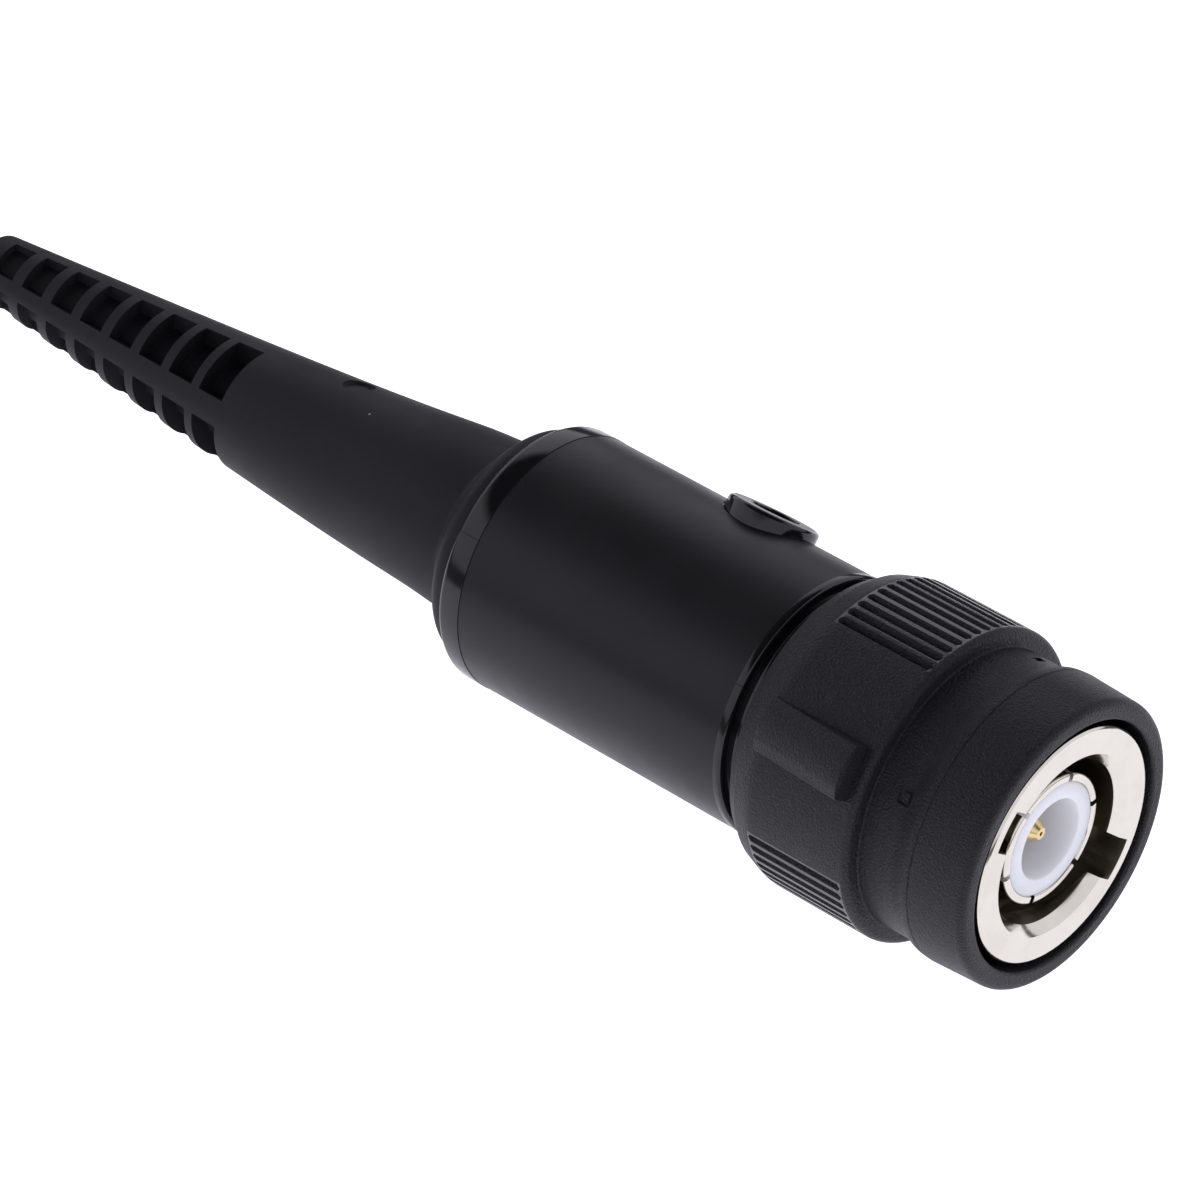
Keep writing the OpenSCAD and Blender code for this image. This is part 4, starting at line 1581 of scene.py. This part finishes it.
    def build(self) -> list[Piece]:
        """Builds the boot with its windows and the mark of its gate.

        Returns:
            The boot alone.
        """
        boot = self.blank()
        surface = self.surface_r(self.gate_x)
        gate = peg_at("gate", self.gate_r, surface - self.gate_depth, surface + 2 * CLEAR,
                      self.gate_x, self.gate_facets)
        bevelled(gate, self.gate_edge, segments=3)
        outward(gate)
        windows = [self.window_cutter(index, clock, span)
                   for index in range(self.window_count) for clock, span in self.window_rows]
        combine(boot, joined([turned(gate, self.gate_clock), *windows]))
        dress(boot, Skin.BOOT)
        # Painted shade: the windows and the bore behind them get the darker copy of the rubber.
        dress_faces(boot, Skin.RECESS_SHADE, self.is_recess)
        self.let_sag(boot)
        return [seat(boot, Body.BOX, "strain_relief_boot", 35.0)]


# ---- Inner parts, which keep their CAD form ----


INNER_PARTS = {
    Skin.STEEL: ("retaining_clip", "thrust_washer", "wave_washer", "lock_washer",
                 "ground_tabs", "trimmer_terminals"),
    Skin.NICKEL: ("plug_body", "body_nut", "cable_ferrule", "crimp_sleeve"),
    Skin.GASKET: ("face_gasket",), Skin.PTFE: ("rear_insulator",),
    Skin.GOLD: ("centre_pin",), Skin.TIN: ("shield_can",), Skin.BOARD: ("circuit_board",),
    Skin.CERAMIC: ("trimmer_body",), Skin.ROTOR: ("trimmer_rotor",),
    Skin.CHIP_RES: ("chip_resistors",), Skin.CHIP_CAP: ("chip_capacitors",),
}


def dress_inner_parts() -> None:
    """Gives each CAD node that keeps its own mesh its finish."""
    for skin, nodes in INNER_PARTS.items():
        for node in nodes:
            dress(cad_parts[node], skin)
            log.info("%s: finish %s", node, skin.value.name)


# ---- Studio ----


@dataclass
class Studio:
    """Pale floor, soft light that is bright low down and dark overhead, and the camera.

    Attributes:
        floor_z: Height of the floor, where the knob rests.
        floor_size: Side of the floor in m.
        floor_tones: Colour of the floor beyond the table and on it.
        sky: Brightness by sine of the elevation.
        sky_top: Brightness that the sky's values are shares of.
        tint: Colour of the light.
        floor_glow: Brightness that the floor adds for the camera.
        floor_bounce: Brightness that the table adds for reflections and soft light.
        table: Where the lit table starts and ends to fade, from the middle.
        image: Side of the picture in pixels.
        focal: Focal length in pixels of that picture.
        sensor: Width of the camera's sensor.
        azimuth: Direction of the camera about Z.
        elevation: Height of the camera's view.
        place: Place of the camera.
    """

    floor_z: float = -9.7
    floor_size: float = 12.0
    floor_tones: tuple[Colour, Colour] = ((0.12, 0.12, 0.12), (0.8, 0.8, 0.8))
    sky: tuple[tuple[float, float], ...] = (
        (0.0, 0.04), (0.05, 0.04), (0.09, 1.0), (0.66, 1.0), (0.75, 0.02))
    sky_top: float = 0.95
    tint: Colour = (0.975, 0.96, 1.06)
    floor_glow: float = 1.06
    floor_bounce: float = 0.85
    table: tuple[float, float] = (100.0, 135.0)
    image: int = 1200
    focal: float = 6500.0
    sensor: float = 36.0
    azimuth: float = 42.554
    elevation: float = 37.128
    place: tuple[float, float, float] = (169.40, -221.31, 226.72)

    def floor(self) -> None:
        """Adds the pale floor, which glows for the camera and dims beyond the table."""
        nothing_selected()
        bpy.ops.mesh.primitive_plane_add(size=self.floor_size,
                                         location=(0.0, 0.0, self.floor_z * MM))
        floor = bpy.context.object
        floor.name = "floor"
        dark, pale = self.floor_tones
        s = Surface("pale_floor", pale, roughness=0.9)
        s.set(Specular_IOR_Level=0.1, Emission_Color=self.tint)
        reach = s.add("ShaderNodeVectorMath", s.position, operation="LENGTH").outputs["Value"]
        table = s.steps(reach, *(edge * MM for edge in self.table), 1.0, 0.0)
        seen = s.add("ShaderNodeLightPath").outputs["Is Camera Ray"]
        bounce = s.times(table, self.floor_bounce)
        lift = s.times(s.math("SUBTRACT", self.floor_glow, bounce), seen)
        s.set(Base_Color=s.mix(table, dark, pale),
              Emission_Strength=s.math("ADD", bounce, lift))
        floor.data.materials.append(s.material)

    def light(self) -> None:
        """Adds the sky that lights the object."""
        world = bpy.data.worlds.new("studio")
        bpy.context.scene.world = world
        world.use_nodes = True
        g = Graph(world.node_tree)
        height = g.split(g.add("ShaderNodeTexCoord").outputs["Generated"])["Z"]
        ramp = g.add("ShaderNodeValToRGB", height)
        stops = ramp.color_ramp.elements
        stops.remove(stops[-1])
        for index, (place, share) in enumerate(self.sky):
            stop = stops.new(place) if index else stops[0]
            stop.color = (*(share * tone for tone in self.tint), 1.0)
        g.tune(world.node_tree.nodes["Background"], Color=ramp.outputs["Color"],
               Strength=self.sky_top)

    def camera(self) -> None:
        """Adds the camera."""
        nothing_selected()
        bpy.ops.object.camera_add(
            location=[v * MM for v in self.place],
            rotation=(math.radians(90.0 - self.elevation), 0.0, math.radians(self.azimuth)))
        camera = bpy.context.object
        camera.data.sensor_fit = "HORIZONTAL"
        camera.data.sensor_width = self.sensor
        camera.data.lens = self.focal / self.image * self.sensor
        camera.data.clip_start = 0.01
        bpy.context.scene.camera = camera

    def build(self) -> None:
        """Sets up the floor, the light and the camera."""
        self.floor()
        self.light()
        self.camera()
        bpy.context.scene.view_settings.view_transform = "Standard"


def main() -> None:
    """Builds the pieces in order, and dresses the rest."""
    Studio().build()
    for assembly in (CouplingSleeve(), Plug(), Barrel(), Boot()):
        for piece in assembly.build():
            log.info("%s: %s, %d faces", type(assembly).__name__, piece.name,
                     len(piece.data.polygons))
    dress_inner_parts()


if __name__ == "__main__":
    main()
